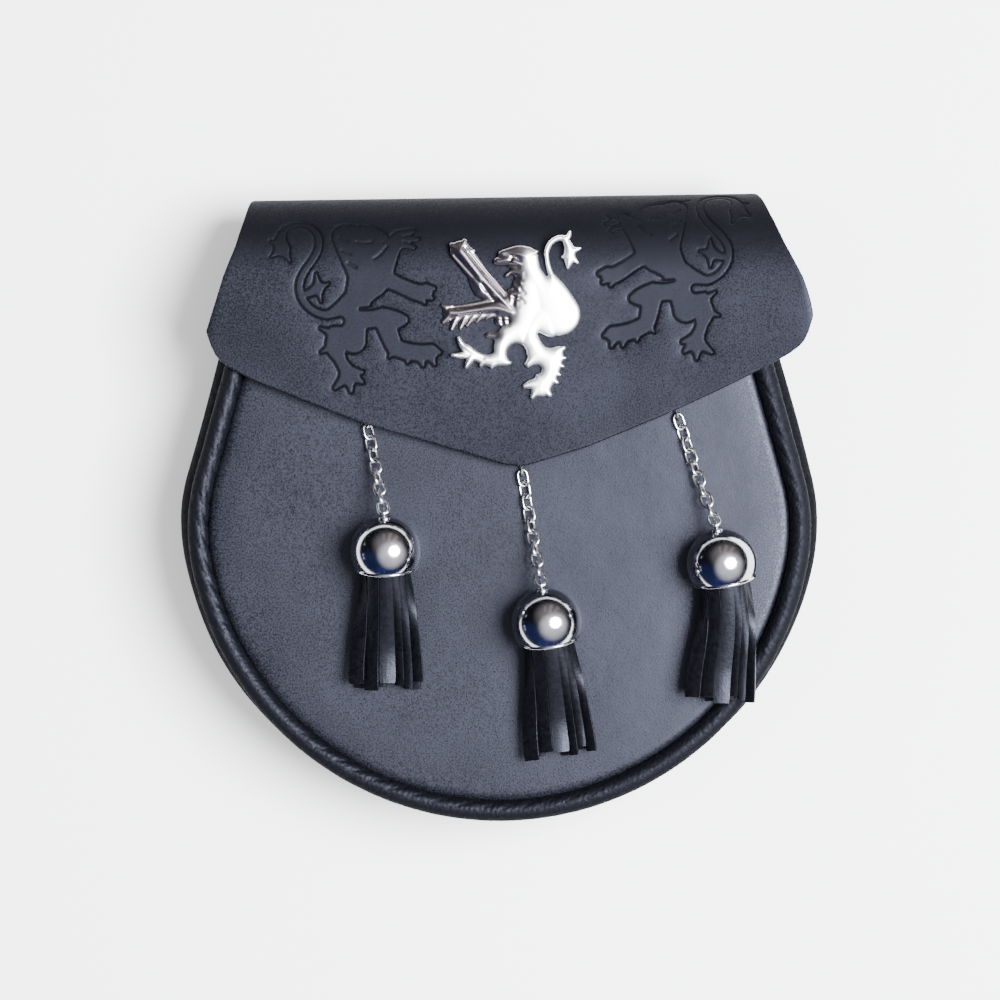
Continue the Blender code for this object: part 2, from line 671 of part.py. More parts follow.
def limb_mesh(ends):
    """A tapered limb: the hull of two flattened balls, given as x, y and radius in mm."""
    balls = bmesh.new()
    spots = []
    for x, y, radius in ends:
        ball = bmesh.ops.create_icosphere(balls, subdivisions=2, radius=radius * MM)["verts"]
        flatten = (BADGE_LOW + BADGE_SWELL * radius) / radius
        middle = Vector((x * MM, y * MM, BADGE_EDGE * MM))
        spots += [middle + Vector((vert.co.x, vert.co.y, vert.co.z * flatten)) for vert in ball]
        balls.clear()
    balls.free()
    bm = bmesh.new()
    verts = [bm.verts.new(spot) for spot in spots]
    hull = bmesh.ops.convex_hull(bm, input=verts)
    inside = [vert for vert in hull["geom_interior"] if isinstance(vert, bmesh.types.BMVert)]
    bmesh.ops.delete(bm, geom=inside)
    mesh = bpy.data.meshes.new("limb")
    bm.to_mesh(mesh)
    bm.free()
    return mesh


def build_badge():
    bm = bmesh.new()
    for x0, y0, r0, x1, y1, r1 in LION:
        piece = limb_mesh(((x0, y0, r0), (x1, y1, r1)))
        bm.from_mesh(piece)
        bpy.data.meshes.remove(piece)
    badge = add_part("lion_badge", to_mesh("lion_badge", bm), CHROME)
    badge.location = (BADGE_X, BADGE_Y, FLAP_FRONT_Z + FLAP_THICKNESS / 2 + GAP)
    cast = badge.modifiers.new("Remesh", "REMESH")
    cast.mode = "VOXEL"
    cast.voxel_size = BADGE_VOXEL
    ground = bmesh.new()
    bmesh.ops.create_cube(ground, size=80.0 * MM)
    cutter = add_cutter("badge_ground", to_mesh("badge_ground", ground))
    cutter.location = (BADGE_X, BADGE_Y, badge.location.z - 40.0 * MM)
    level = badge.modifiers.new("Level", "BOOLEAN")
    level.operation = "DIFFERENCE"
    level.object = cutter
    thin = badge.modifiers.new("Decimate", "DECIMATE")
    thin.ratio = BADGE_KEEP


build_panel("back_panel", BACK_OFFSET, BACK_Z, BACK_THICKNESS, 0.0, (1.0,))
build_piping("back_piping", PIPING_RADIUS)
build_gusset()
build_piping("front_piping", FRONT_PIPING_Z)
build_panel("front_panel", FRONT_OFFSET, FRONT_Z, FRONT_THICKNESS, FRONT_CROWN, CROWN_RINGS)
build_flap()
build_strap_loop("strap_loop_left", -LOOP_X)
build_strap_loop("strap_loop_right", LOOP_X)
build_snap_stud()
build_drops()
build_badge()
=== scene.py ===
import math

import bmesh
import bpy
import numpy as np
from mathutils import Matrix, Vector


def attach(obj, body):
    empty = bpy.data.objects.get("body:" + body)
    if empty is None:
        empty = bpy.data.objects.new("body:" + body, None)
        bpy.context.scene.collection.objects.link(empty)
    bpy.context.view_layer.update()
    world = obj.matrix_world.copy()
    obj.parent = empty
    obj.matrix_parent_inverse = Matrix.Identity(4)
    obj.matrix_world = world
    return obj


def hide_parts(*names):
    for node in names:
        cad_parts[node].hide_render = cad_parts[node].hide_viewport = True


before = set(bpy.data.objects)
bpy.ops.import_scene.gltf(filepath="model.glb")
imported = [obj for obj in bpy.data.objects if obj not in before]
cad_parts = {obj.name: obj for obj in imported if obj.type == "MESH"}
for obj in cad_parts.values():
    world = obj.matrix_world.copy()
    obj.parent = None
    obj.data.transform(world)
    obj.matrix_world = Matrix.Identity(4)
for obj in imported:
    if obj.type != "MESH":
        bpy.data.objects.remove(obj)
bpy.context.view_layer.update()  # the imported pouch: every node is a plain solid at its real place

MM = 0.001
GAP = 0.3 * MM

# The body, as the plain solids have it.
BELLY_RADIUS = 92.2 * MM
BELLY_CENTRE_Y = -0.5 * MM
BELLY_END = math.radians(-10.0)
SHOULDER_RADIUS = 55.5 * MM
SIDE_LEAN = math.radians(15.3)
MOUTH_Y = 78.0 * MM
FRONT_Z = 37.0 * MM
FRONT_THICKNESS = 2.5 * MM
FRONT_CROWN = 0.9 * MM
FRONT_OFFSET = -0.1 * MM
FRONT_ROLL = ((0.25, 0.55), (0.35, 0.45), (0.5, 0.35), (0.7, 0.2), (1.2, 0.08))  # inset and rise in mm
BACK_LOW_Z = 6.9 * MM
BACK_THICKNESS = 2.2 * MM
BACK_OFFSET = 5.0 * MM
BACK_ROLL = ((0.3, 0.5), (0.4, 0.3), (0.6, 0.15), (1.0, 0.05))  # inset and drop in mm
SIDE_STEPS = 12  # points along each straight side of a panel
PIPING_RADIUS = 3.3 * MM
PIPING_OFFSET = 3.5 * MM
PUCKER_PERIOD = 1.75 * MM
LONG_FOLD_PERIOD = 7.2 * MM
LONG_FOLD_SLANT = 8.0 * MM  # how far a fold runs along the cord on its way round it
GUSSET_LOW_Z = 9.4 * MM
GUSSET_HIGH_Z = 34.2 * MM
GUSSET_THICKNESS = 1.6 * MM
GUSSET_SEAM = 2.6 * MM
GUSSET_BULGE = (4.2 * MM, 7.6 * MM)  # at the bottom and at the sides
GATHER_PERIOD = 5.2 * MM

# The flap.
FLAP_THICKNESS = 2.4 * MM
FLAP_FRONT_Z = 42.8 * MM
FLAP_BACK_Z = 5.4 * MM
FOLD_RADIUS = 18.7 * MM
FOLD_Y = 79.65 * MM
FOLD_EASE = 7.5 * MM  # how much sooner the front of the sheet starts to turn down
TAIL_END_Y = 52.0 * MM
HEM = (  # x, y of the front edge in mm, from the left corner to the right one
    (-92.3, 54.9), (-90.9, 49.2), (-86.8, 44.6), (-78.1, 39.8), (-60.0, 32.6), (-42.8, 25.9),
    (-21.3, 19.9), (2.0, 12.9), (7.6, 12.5), (27.6, 18.6), (53.5, 29.3), (67.5, 35.8),
    (80.9, 42.3), (91.0, 47.8), (95.2, 50.9), (97.7, 54.6), (98.6, 59.6),
)
FLAP_SIDES = (  # turn round the fold in degrees, left x and right x in mm
    (0.0, -87.0, 95.3),
    (30.0, -83.2, 89.6),
    (60.0, -80.6, 85.2),
    (90.0, -79.0, 82.0),
    (135.0, -75.0, 77.0),
    (180.0, -66.0, 66.0),
)
FOLD_SKEW = 2.4 * MM  # how much lower the fold lies at its left end
EDGE_LIFT = 2.2 * MM  # the right margin of the flap curls up a little
FRONT_SHARE = 0.5  # share of the sheet's rows that lie in front of the fold
FLAP_WAVE = 0.25 * MM  # unevenness of the front of the sheet
CURL_START = 38.0 * MM  # x where the right margin starts to curl
CURL_REACH = 58.0 * MM  # how much further out it curls in full
EDGE_ROUND = 0.45 * MM  # how much the cut edge is softened
STAMP_REACHES = (2.4, 1.35, 0.75)  # how near the stamps' lines each finer mesh starts, in mm
COURSE_STEPS = 60  # points on each stretch of the sheet's middle line

# The lion that is pressed into the flap, facing right, in mm from its middle: each limb is a smooth
# course of points with the half width there.
PRESSED_LION = (  # x, y, half width
    ((-4.6, -8.4, 4.4), (-4.2, -3.0, 3.9), (-2.0, 3.0, 4.6),
     (0.8, 9.6, 6.8), (-1.6, 17.4, 7.2), (-6.2, 22.6, 4.8)),  # body and neck
    ((-3.4, 20.0, 6.0), (0.4, 23.0, 3.6), (5.0, 22.2, 1.8)),  # head and muzzle
    ((0.6, 20.0, 2.6), (4.8, 18.4, 0.9)),  # jaw
    ((5.2, 8.8, 3.2), (6.6, 14.6, 3.2), (8.2, 19.0, 3.1), (10.8, 21.6, 2.7)),  # raised foreleg
    ((10.4, 22.4, 2.0), (13.0, 23.8, 1.3), (14.8, 24.4, 0.7)),
    ((10.8, 21.4, 2.0), (13.6, 21.5, 1.3), (16.0, 21.4, 0.8)),
    ((10.6, 20.6, 2.0), (12.8, 19.4, 1.3), (14.8, 18.4, 0.8)),
    ((2.5, 6.6, 4.0), (6.0, 7.6, 2.9), (10.4, 5.9, 2.5),
     (15.6, 3.7, 2.7), (18.6, 3.8, 2.4)),  # level foreleg
    ((18.8, 4.8, 1.6), (21.2, 4.8, 0.8)),
    ((18.4, 3.0, 1.6), (20.6, 1.7, 0.7)),
    ((16.6, 2.4, 1.5), (18.3, 0.4, 0.7)),
    ((5.2, 5.4, 1.3), (4.5, 3.4, 0.6)),
    ((-0.8, -4.6, 3.4), (4.4, -4.2, 3.2), (8.8, -5.0, 3.0), (11.8, -5.0, 1.6)),  # bent hind leg
    ((6.2, -6.2, 3.4), (7.6, -10.4, 3.0), (9.6, -13.8, 2.8), (15.0, -15.3, 2.8), (20.2, -15.2, 2.6)),
    ((20.6, -14.6, 1.5), (23.0, -15.2, 0.8)),
    ((20.0, -16.2, 1.6), (21.4, -18.8, 0.8)),
    ((17.0, -16.6, 1.6), (17.8, -19.2, 0.8)),
    ((12.8, -16.4, 1.4), (13.0, -18.4, 0.6)),
    ((8.4, -15.0, 1.3), (7.2, -16.8, 0.5)),
    ((-4.6, -8.6, 4.7), (-4.0, -11.6, 4.1)),  # standing hind leg
    ((-7.8, -9.8, 4.4), (-9.4, -13.4, 3.4), (-8.2, -17.4, 2.1), (-6.4, -20.6, 2.3), (-5.4, -22.6, 2.9)),
    ((-6.4, -23.0, 2.0), (-9.8, -26.4, 0.8)),
    ((-5.4, -23.4, 2.0), (-4.8, -27.4, 0.8)),
    ((-4.0, -22.8, 1.8), (-1.4, -24.6, 0.8)),
    ((-4.0, -21.4, 1.6), (-1.4, -21.5, 0.8)),
    ((-11.4, -9.0, 1.2), (-14.4, -7.6, 0.5)),
    ((-11.8, -14.0, 1.2), (-14.2, -15.2, 0.5)),
    ((-5.4, 0.2, 3.2), (-8.6, -1.8, 2.3), (-12.6, -3.4, 1.5), (-17.0, -1.9, 1.3), (-20.2, 1.8, 1.3),
     (-20.9, 6.2, 1.3), (-19.2, 10.6, 1.3), (-16.8, 14.4, 1.3), (-15.1, 18.6, 1.3), (-15.4, 23.0, 1.2),
     (-18.2, 26.4, 1.1), (-22.6, 27.2, 1.1), (-26.0, 25.2, 1.2),
     (-27.0, 21.6, 1.8), (-26.6, 18.4, 2.6)),  # tail
    ((-27.2, 20.0, 1.6), (-30.2, 21.0, 0.5)),
    ((-27.2, 18.0, 1.6), (-29.8, 15.6, 0.5)),
    ((-26.0, 17.4, 1.6), (-24.0, 14.0, 0.5)),
    ((-19.9, 2.8, 1.0), (-17.6, 3.6, 1.4), (-15.2, 5.0, 1.6)),  # the tuft inside the tail's curl
    ((-15.2, 4.9, 1.5), (-15.8, 9.6, 0.4)),
    ((-15.2, 4.9, 1.5), (-11.8, 6.4, 0.4)),
    ((-15.2, 4.9, 1.5), (-14.2, 0.6, 0.4)),
)
PRESSED_CUTS = (  # leather left standing inside the outline
    ((-13.0, -6.1, 1.0), (-10.0, -5.7, 1.2), (-8.4, -5.5, 1.4)),
    ((-1.8, -1.6, 0.3), (1.2, -1.4, 0.5), (4.0, -0.4, 0.9)),
)
PRESSED_LINES = (  # creases inside the pressed lion, as courses of x, y in mm
    ((-3.0, 20.6), (-0.6, 20.2), (1.8, 20.6)),
    ((2.6, 14.8), (4.4, 16.2), (6.4, 18.8)),
    ((-12.4, 26.2), (-9.4, 26.2)),
    ((-6.0, 26.9), (-2.4, 26.9)),
    ((-8.6, 22.2), (-6.0, 21.0)),
    ((-7.6, 17.6), (-5.0, 16.4)),
    ((-5.6, 13.2), (-3.2, 11.8)),
    ((11.8, 22.6), (14.2, 23.2)),
    ((11.8, 20.6), (14.0, 20.2)),
)
STAMPS = (  # middle x, y on the flat sheet in mm, turn in degrees, scale, 1 or -1 to face right or left
    (-42.0, 63.6, 0.0, 1.0, 1.0),
    (52.6, 72.2, 10.0, 0.98, -1.0),
)

# Strap loops on the back.
LOOP_X = 30.0 * MM
LOOP_WIDTH = 20.0 * MM
LOOP_THICKNESS = 2.0 * MM
LOOP_SECTION = (  # y, z in mm of the middle of the strap
    (48.0, 5.6), (40.0, 5.6), (36.0, 1.0), (0.0, 1.0), (-4.0, 5.6), (-12.0, 5.6),
)
LOOP_SEAMS = (("top", 44.0 * MM), ("bottom", -8.0 * MM))  # y of the middle of each sewn end
LOOP_ROWS = (-2.2 * MM, 2.2 * MM)  # how far the two rows of stitches lie from the middle of a seam
LOOP_STITCH_STEP = 3.4 * MM
TAIL_ROWS = (56.0 * MM, 59.6 * MM)
TAIL_STITCH_STEP = 4.0 * MM
STITCH_SLANT = 0.14  # turn of each stitch, in radians
STITCH_RADIUS = 0.42 * MM
STITCH_REACH = 0.85 * MM  # how far each end of a stitch is pulled out

STUD_Y = 42.0 * MM
STUD_RADIUS = 6.0 * MM
STUD_STEPS = ((1.4 * MM, -0.35 * MM), (1.0 * MM, 0.3 * MM))  # inset and rise of each ring on its caps

# Chain, bells and tassels.
WIRE = 0.95 * MM
LINK_WIDTH = 4.3 * MM
LINK_LENGTH = 6.1 * MM
BELL_RADIUS = 11.1 * MM
BELL_BELLY = 5.8 * MM  # height of the widest place over the mouth
BELL_HEIGHT = 16.4 * MM
BELL_RIM = (  # the rolled rim, as radius and height over the mouth in mm
    (9.96, 0.90), (10.16, 0.75), (10.26, 0.45), (10.16, 0.15),
    (9.90, 0.00), (9.50, 0.00), (9.20, 0.25), (9.10, 0.80),
)
BELL_WALL = 0.35 * MM
COLLAR_RADIUS = 1.5 * MM
COLLAR_WIRE_RADIUS = 0.55 * MM
COLLAR_RISE = 0.05 * MM
EYE_RADIUS = 1.6 * MM
EYE_WIRE_RADIUS = 0.5 * MM
EYE_RISE = 1.5 * MM
HEAD_RADII = (7.6 * MM, 6.2 * MM)
HEAD_FROM, HEAD_TO = 0.4 * MM, 10.3 * MM
STRIP_GATHER = 0.74  # share of a strip's width inside the bell
STRIP_THICKNESS = 0.95 * MM
STRIP_RING = 7.0 * MM
STRIP_START = 2.6 * MM
LAYER_STEP = 3.2 * MM
UPPER_STRIPS = (  # share across from left to right, width in mm, roll in degrees
    (-0.52, 5.4, 28.0),
    (-0.27, 5.2, 27.0),
    (0.00, 5.2, -4.0),
    (0.21, 3.2, 30.0),
    (0.36, 2.8, 14.0),
    (0.52, 3.6, 30.0),
)
LOWER_STRIPS = tuple((share, 5.6, 8.0) for share in (-0.42, -0.14, 0.14, 0.42))
STRIP_STEP = 0.32 * MM  # how much lower each strip of the upper layer lies than the one before it
STRIP_ROWS = 26
STRIP_CUP = 0.22 * MM  # how far a strip's middle rises over its margins
DROPS = (  # side, mouth x, y, lean, tilt, end x, y, spread, end height, in mm and degrees
    ("left", -35.6, -19.5, 1.5, 16.0, -35.2, -56.6, 18.6, 2.0),
    ("centre", 15.5, -41.9, 8.0, 16.0, 19.6, -77.6, 18.2, 2.0),
    ("right", 70.6, -23.4, 9.5, 12.0, 69.6, -60.6, 17.4, 5.6),
)

# The cast lion, facing left, in mm from its middle, as limbs that taper from one end to the other.
BADGE_X, BADGE_Y = 3.3 * MM, 59.9 * MM
BADGE_HEIGHT = 3.1 * MM
CAST_SIZE = (46.0 * MM, 54.6 * MM)  # the plate that the casting is cut from
CAST_REACHES = (0.35, 0.2)  # how near the outline each finer mesh starts, in mm
CAST_WALL = 0.3 * MM  # how far the casting's edge drops straight down at first
CAST_BODY = (  # smoothly swelling parts: courses of x, y, half width
    ((15.2, 0.5, 6.9), (12.6, 5.6, 6.1), (9.2, 11.0, 4.9),
     (6.4, 15.8, 3.9), (5.2, 18.4, 3.2)),  # rump to neck
    ((6.4, 9.0, 4.6), (6.0, 2.4, 5.4), (3.6, -3.2, 4.6),
     (-0.4, -7.8, 4.3), (-1.6, -12.2, 3.5)),  # breast, thigh
    ((10.2, -1.6, 6.0), (8.0, -7.4, 4.6), (10.4, -11.8, 4.6)),  # hip
    ((-1.8, -13.0, 2.8), (-6.4, -14.1, 1.9), (-10.4, -12.9, 1.6), (-13.6, -10.6, 1.5)),  # bent hind leg
    ((-13.4, -10.8, 1.5), (-15.0, -9.4, 1.1), (-16.1, -7.2, 0.7)),
    ((-12.6, -12.0, 1.5), (-15.4, -12.6, 1.1), (-18.2, -12.5, 0.6)),
    ((-11.8, -12.8, 1.4), (-12.8, -14.4, 1.1), (-13.8, -16.2, 0.6)),
    ((-5.2, -15.2, 1.1), (-5.8, -16.4, 0.5)),
    ((-8.4, -14.6, 1.0), (-9.2, -15.8, 0.5)),
    ((8.0, -12.6, 2.2), (5.0, -16.0, 0.8)),
    ((12.4, -12.6, 4.4), (12.2, -16.8, 3.4), (10.8, -20.2, 3.1), (9.6, -22.6, 3.0)),  # standing leg
    ((9.2, -21.4, 2.2), (6.6, -21.6, 1.5), (4.6, -22.2, 0.8)),
    ((8.6, -23.0, 2.0), (7.0, -25.6, 0.8)),
    ((10.4, -22.8, 2.2), (12.4, -24.8, 0.9)),
    ((12.2, -19.4, 1.6), (14.8, -21.0, 0.6)),
    ((15.2, -11.2, 1.3), (17.0, -10.1, 0.6)),
    ((15.4, -13.4, 1.2), (17.3, -13.3, 0.5)),
    ((14.6, -15.2, 1.2), (16.7, -16.0, 0.5)),
    ((13.6, -17.6, 1.0), (15.6, -18.6, 0.5)),
)
CAST_TAIL = (
    ((17.0, 6.6, 1.3), (14.8, 9.5, 1.15), (13.0, 12.4, 1.0), (11.7, 16.4, 0.9), (11.5, 20.0, 0.85),
     (12.8, 22.8, 0.85), (15.2, 24.3, 0.9), (17.4, 24.2, 0.9)),
    ((17.2, 24.1, 0.9), (18.4, 24.8, 0.8), (18.9, 26.2, 0.45)),
    ((17.4, 23.8, 1.0), (18.5, 21.4, 1.5), (18.7, 18.4, 1.8), (18.2, 15.0, 0.5)),
    ((19.0, 20.2, 1.4), (22.1, 21.1, 0.4)),
    ((19.0, 18.6, 1.4), (21.2, 16.6, 0.5)),
    ((18.2, 18.6, 1.2), (16.6, 18.4, 0.5)),
)
CAST_FORE = (  # the forelegs, the head and the mane, which are ridged
    ((2.2, -0.4, 2.2), (-0.6, 2.8, 2.7), (-4.4, 6.8, 3.0),
     (-9.4, 12.2, 3.2), (-14.0, 18.2, 3.3), (-15.6, 20.2, 3.3)),  # raised foreleg
    ((-9.6, 11.4, 3.4), (-9.2, 8.8, 2.8), (-8.4, 7.4, 2.1)),  # elbow
    ((-5.0, 6.2, 2.8), (-8.0, 7.2, 2.0), (-10.3, 6.7, 0.7)),
    ((-15.4, 21.0, 2.4), (-14.3, 23.2, 0.9)),
    ((-16.6, 20.6, 2.2), (-18.2, 22.0, 0.9)),
    ((-13.8, 20.2, 2.0), (-11.4, 20.2, 0.6)),
    ((0.6, 0.8, 2.8), (-4.6, 2.4, 3.1), (-10.6, 1.7, 2.7),
     (-16.4, 0.8, 2.5), (-18.8, 0.9, 2.4)),  # level foreleg
    ((-19.0, 1.9, 1.6), (-21.3, 3.1, 0.7)),
    ((-18.8, 0.0, 1.6), (-21.0, -2.0, 0.7)),
    ((-16.8, -0.4, 1.5), (-18.4, -4.3, 0.7)),
    ((-14.0, -0.2, 1.5), (-15.6, -4.0, 0.6)),
    ((-11.2, 0.2, 1.4), (-13.4, -3.0, 0.6)),
    ((-8.4, 0.6, 1.4), (-10.4, -1.8, 0.6)),
    ((-5.6, 0.6, 1.3), (-7.4, -1.0, 0.5)),
    ((2.0, -1.8, 2.4), (-3.4, -1.8, 1.5)),
    ((-3.4, -6.6, 1.5), (-6.9, -6.2, 0.9)),
    ((-2.0, 18.9, 1.8), (2.6, 19.2, 2.8), (5.0, 18.4, 3.2)),  # brow
    ((-4.0, 17.0, 1.2), (-0.6, 17.4, 2.1), (3.0, 16.4, 2.6)),  # muzzle
    ((-1.2, 12.5, 0.6), (0.6, 13.7, 0.9), (4.0, 13.2, 2.2)),  # tongue and jaw
    ((3.8, 11.4, 2.4), (2.8, 7.4, 2.6), (2.2, 3.2, 2.6)),  # mane on the breast
    ((3.0, 7.0, 2.4), (0.8, 6.4, 2.2), (0.2, 4.0, 2.0)),
    ((5.8, 19.6, 1.5), (8.5, 20.0, 0.5)),
)
CAST_CUTS = (  # gaps through the casting
    ((2.0, -11.85, 3.05), (2.05, -11.9, 3.05)),
    ((3.2, -14.8, 0.5), (5.8, -17.6, 0.8), (8.4, -16.9, 1.5)),
    ((3.0, -18.6, 2.0), (5.8, -18.2, 1.2)),
    ((9.2, -6.0, 0.5), (12.0, -8.4, 1.6), (14.4, -8.2, 1.5), (18.0, -7.8, 1.3)),
    ((9.9, 18.4, 1.0), (10.3, 15.6, 0.9), (11.5, 12.9, 0.5)),
)
CAST_LINES = (  # chased lines: courses of x, y in mm, then the depth in mm
    ((-17.4, 19.0), (-11.4, 12.4), (-5.0, 4.8), 0.50),  # flutes of the raised foreleg
    ((-14.2, 21.2), (-8.6, 14.2), (-1.6, 5.8), 0.55),
    ((-19.4, 2.2), (-12.0, 3.0), (-4.0, 4.6), 0.40),  # level foreleg
    ((-18.6, -0.8), (-12.4, 0.2), (-4.4, 0.6), 0.35),
    ((-2.4, 15.0), (0.2, 15.6), (2.6, 15.2), 0.90),  # mouth
    ((-3.4, 18.2), (-0.8, 19.0), (1.6, 18.4), (3.2, 17.0), 0.55),  # nose and brow
    ((-0.4, 16.4), (0.6, 18.0), 0.45),
    ((1.6, 10.4), (3.2, 9.0), 0.45),  # curls of the mane
    ((1.0, 8.2), (2.8, 7.2), 0.45),
    ((0.8, 6.0), (2.6, 5.0), 0.45),
    ((1.8, 12.0), (3.8, 11.0), 0.45),
    ((3.2, 8.2), (4.6, 6.8), 0.35),
    ((3.0, 5.4), (4.4, 4.0), 0.35),
    ((-15.6, -9.6), (-12.4, -12.0), (-8.4, -13.6), 0.35),  # toes
    ((-16.6, -12.6), (-13.0, -12.6), 0.25),
    ((-2.6, -1.2), (-2.4, -2.6), 0.5),  # wrist
    ((-0.6, -1.0), (-0.4, -3.0), 0.5),
)


# --- a maker's hands ---------------------------------------------------------------------------


def let_go():
    """Leaves edit mode, with nothing selected."""
    if bpy.context.mode != "OBJECT":
        bpy.ops.object.mode_set(mode="OBJECT")
    bpy.ops.object.select_all(action="DESELECT")


def hold(piece):
    let_go()
    piece.select_set(True)
    bpy.context.view_layer.objects.active = piece


def named(name):
    """The primitive that was just added, under its own name."""
    piece = bpy.context.active_object
    piece.name = piece.data.name = name
    return piece


def start_edit(piece, kind="FACE"):
    hold(piece)
    bpy.ops.object.mode_set(mode="EDIT")
    bpy.ops.mesh.select_mode(type=kind)
    bpy.ops.mesh.select_all(action="DESELECT")


def choose(piece, kind, test):
    """In edit mode, selects the vertices, edges or faces that pass a test."""
    bpy.ops.mesh.select_mode(type=kind)
    bpy.ops.mesh.select_all(action="DESELECT")
    shape = bmesh.from_edit_mesh(piece.data)
    shape.normal_update()
    for item in {"VERT": shape.verts, "EDGE": shape.edges, "FACE": shape.faces}[kind]:
        if test(item):
            item.select_set(True)
    shape.select_flush_mode()
    bmesh.update_edit_mesh(piece.data)


def choose_all():
    bpy.ops.mesh.select_all(action="SELECT")


def select_faces(piece, wanted):
    """In edit mode, selects the faces that a list of yes and no names."""
    bpy.ops.mesh.select_mode(type="FACE")
    bpy.ops.mesh.select_all(action="DESELECT")
    shape = bmesh.from_edit_mesh(piece.data)
    for face, yes in zip(shape.faces, wanted):
        if yes:
            face.select_set(True)
    bmesh.update_edit_mesh(piece.data)


def move(x=0.0, y=0.0, z=0.0):
    bpy.ops.transform.translate(value=(x, y, z))


def resize(x, y, z, centre):
    bpy.ops.transform.resize(value=(x, y, z), center_override=centre)


def finish_with(piece, kind, **settings):
    """Adds one modifier, sets it and applies it."""
    hold(piece)
    step = piece.modifiers.new(kind.title(), kind)
    for name, value in settings.items():
        setattr(step, name, value)
    bpy.ops.object.modifier_apply(modifier=step.name)


def soften_corners(piece, width, segments):
    """Rounds off the edges that bend by more than 60 degrees."""
    limit = math.radians(60.0)
    finish_with(piece, "BEVEL", width=width, segments=segments, limit_method="ANGLE", angle_limit=limit)


def smooth(piece, degrees):
    hold(piece)
    bpy.ops.object.shade_smooth_by_angle(angle=math.radians(degrees))


def settle(piece):
    """Puts the object's place, turn and size into its mesh."""
    hold(piece)
    bpy.ops.object.transform_apply(location=True, rotation=True, scale=True)


def copied(piece, name, place):
    """A copy with a mesh of its own, at its own place."""
    hold(piece)
    bpy.ops.object.duplicate()
    twin = named(name)
    twin.data.transform(place)
    return twin


def joined(name, pieces):
    hold(pieces[0])
    for piece in pieces[1:]:
        piece.select_set(True)
    bpy.ops.object.join()
    return named(name)


def discard(piece):
    bpy.data.objects.remove(piece, do_unlink=True)


def face_outwards():
    """In edit mode, turns all the faces of a closed piece outwards."""
    choose_all()
    bpy.ops.mesh.normals_make_consistent(inside=False)
    let_go()


def face_middles(piece):
    """In edit mode, the middle of each face."""
    return np.array([face.calc_center_median() for face in bmesh.from_edit_mesh(piece.data).faces])


def points_of(piece):
    flat = np.empty(len(piece.data.vertices) * 3)
    piece.data.vertices.foreach_get("co", flat)
    return flat.reshape(-1, 3)


def put_points(piece, spots):
    piece.data.vertices.foreach_set("co", np.asarray(spots, dtype=np.float64).ravel())
    piece.data.update()


def mark(piece, name, values):
    """Keeps one number for each point, for the material to read."""
    note = piece.data.attributes.new(name, "FLOAT", "POINT")
    note.data.foreach_set("value", np.asarray(values, dtype=np.float32))


def lay_grid(name, across, along, place):
    """A grid whose points are laid by place(across, along), both from 0 to 1."""
    let_go()
    bpy.ops.mesh.primitive_grid_add(x_subdivisions=across, y_subdivisions=along, size=1.0)
    piece = named(name)
    flat = points_of(piece)
    put_points(piece, np.column_stack(place(flat[:, 0] + 0.5, flat[:, 1] + 0.5)))
    return piece


def drift(x, y, length, seed):
    """Smooth unevenness between -1 and 1 over lengths of about the one given."""
    total = 0.0
    for step, (a, b) in enumerate(((1.0, 0.31), (-0.47, 0.93), (0.71, -0.78), (0.16, 1.27))):
        total = total + np.sin((a * x + b * y) * 2.0 * np.pi / length + seed * (1.7 + step) + step)
    return total / 4.0


def dress(piece, *finishes):
    piece.data.materials.clear()
    for finish in finishes:
        piece.data.materials.append(finish)


def hand_over(piece, slot, *nodes):
    """Hangs a finished piece on the pouch, in place of the plain solids that it stands for."""
    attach(piece, "root")
    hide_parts(*nodes)


# --- finishes ----------------------------------------------------------------------------------

BLUE_SHEEN = (0.74, 0.77, 1.0, 1.0)


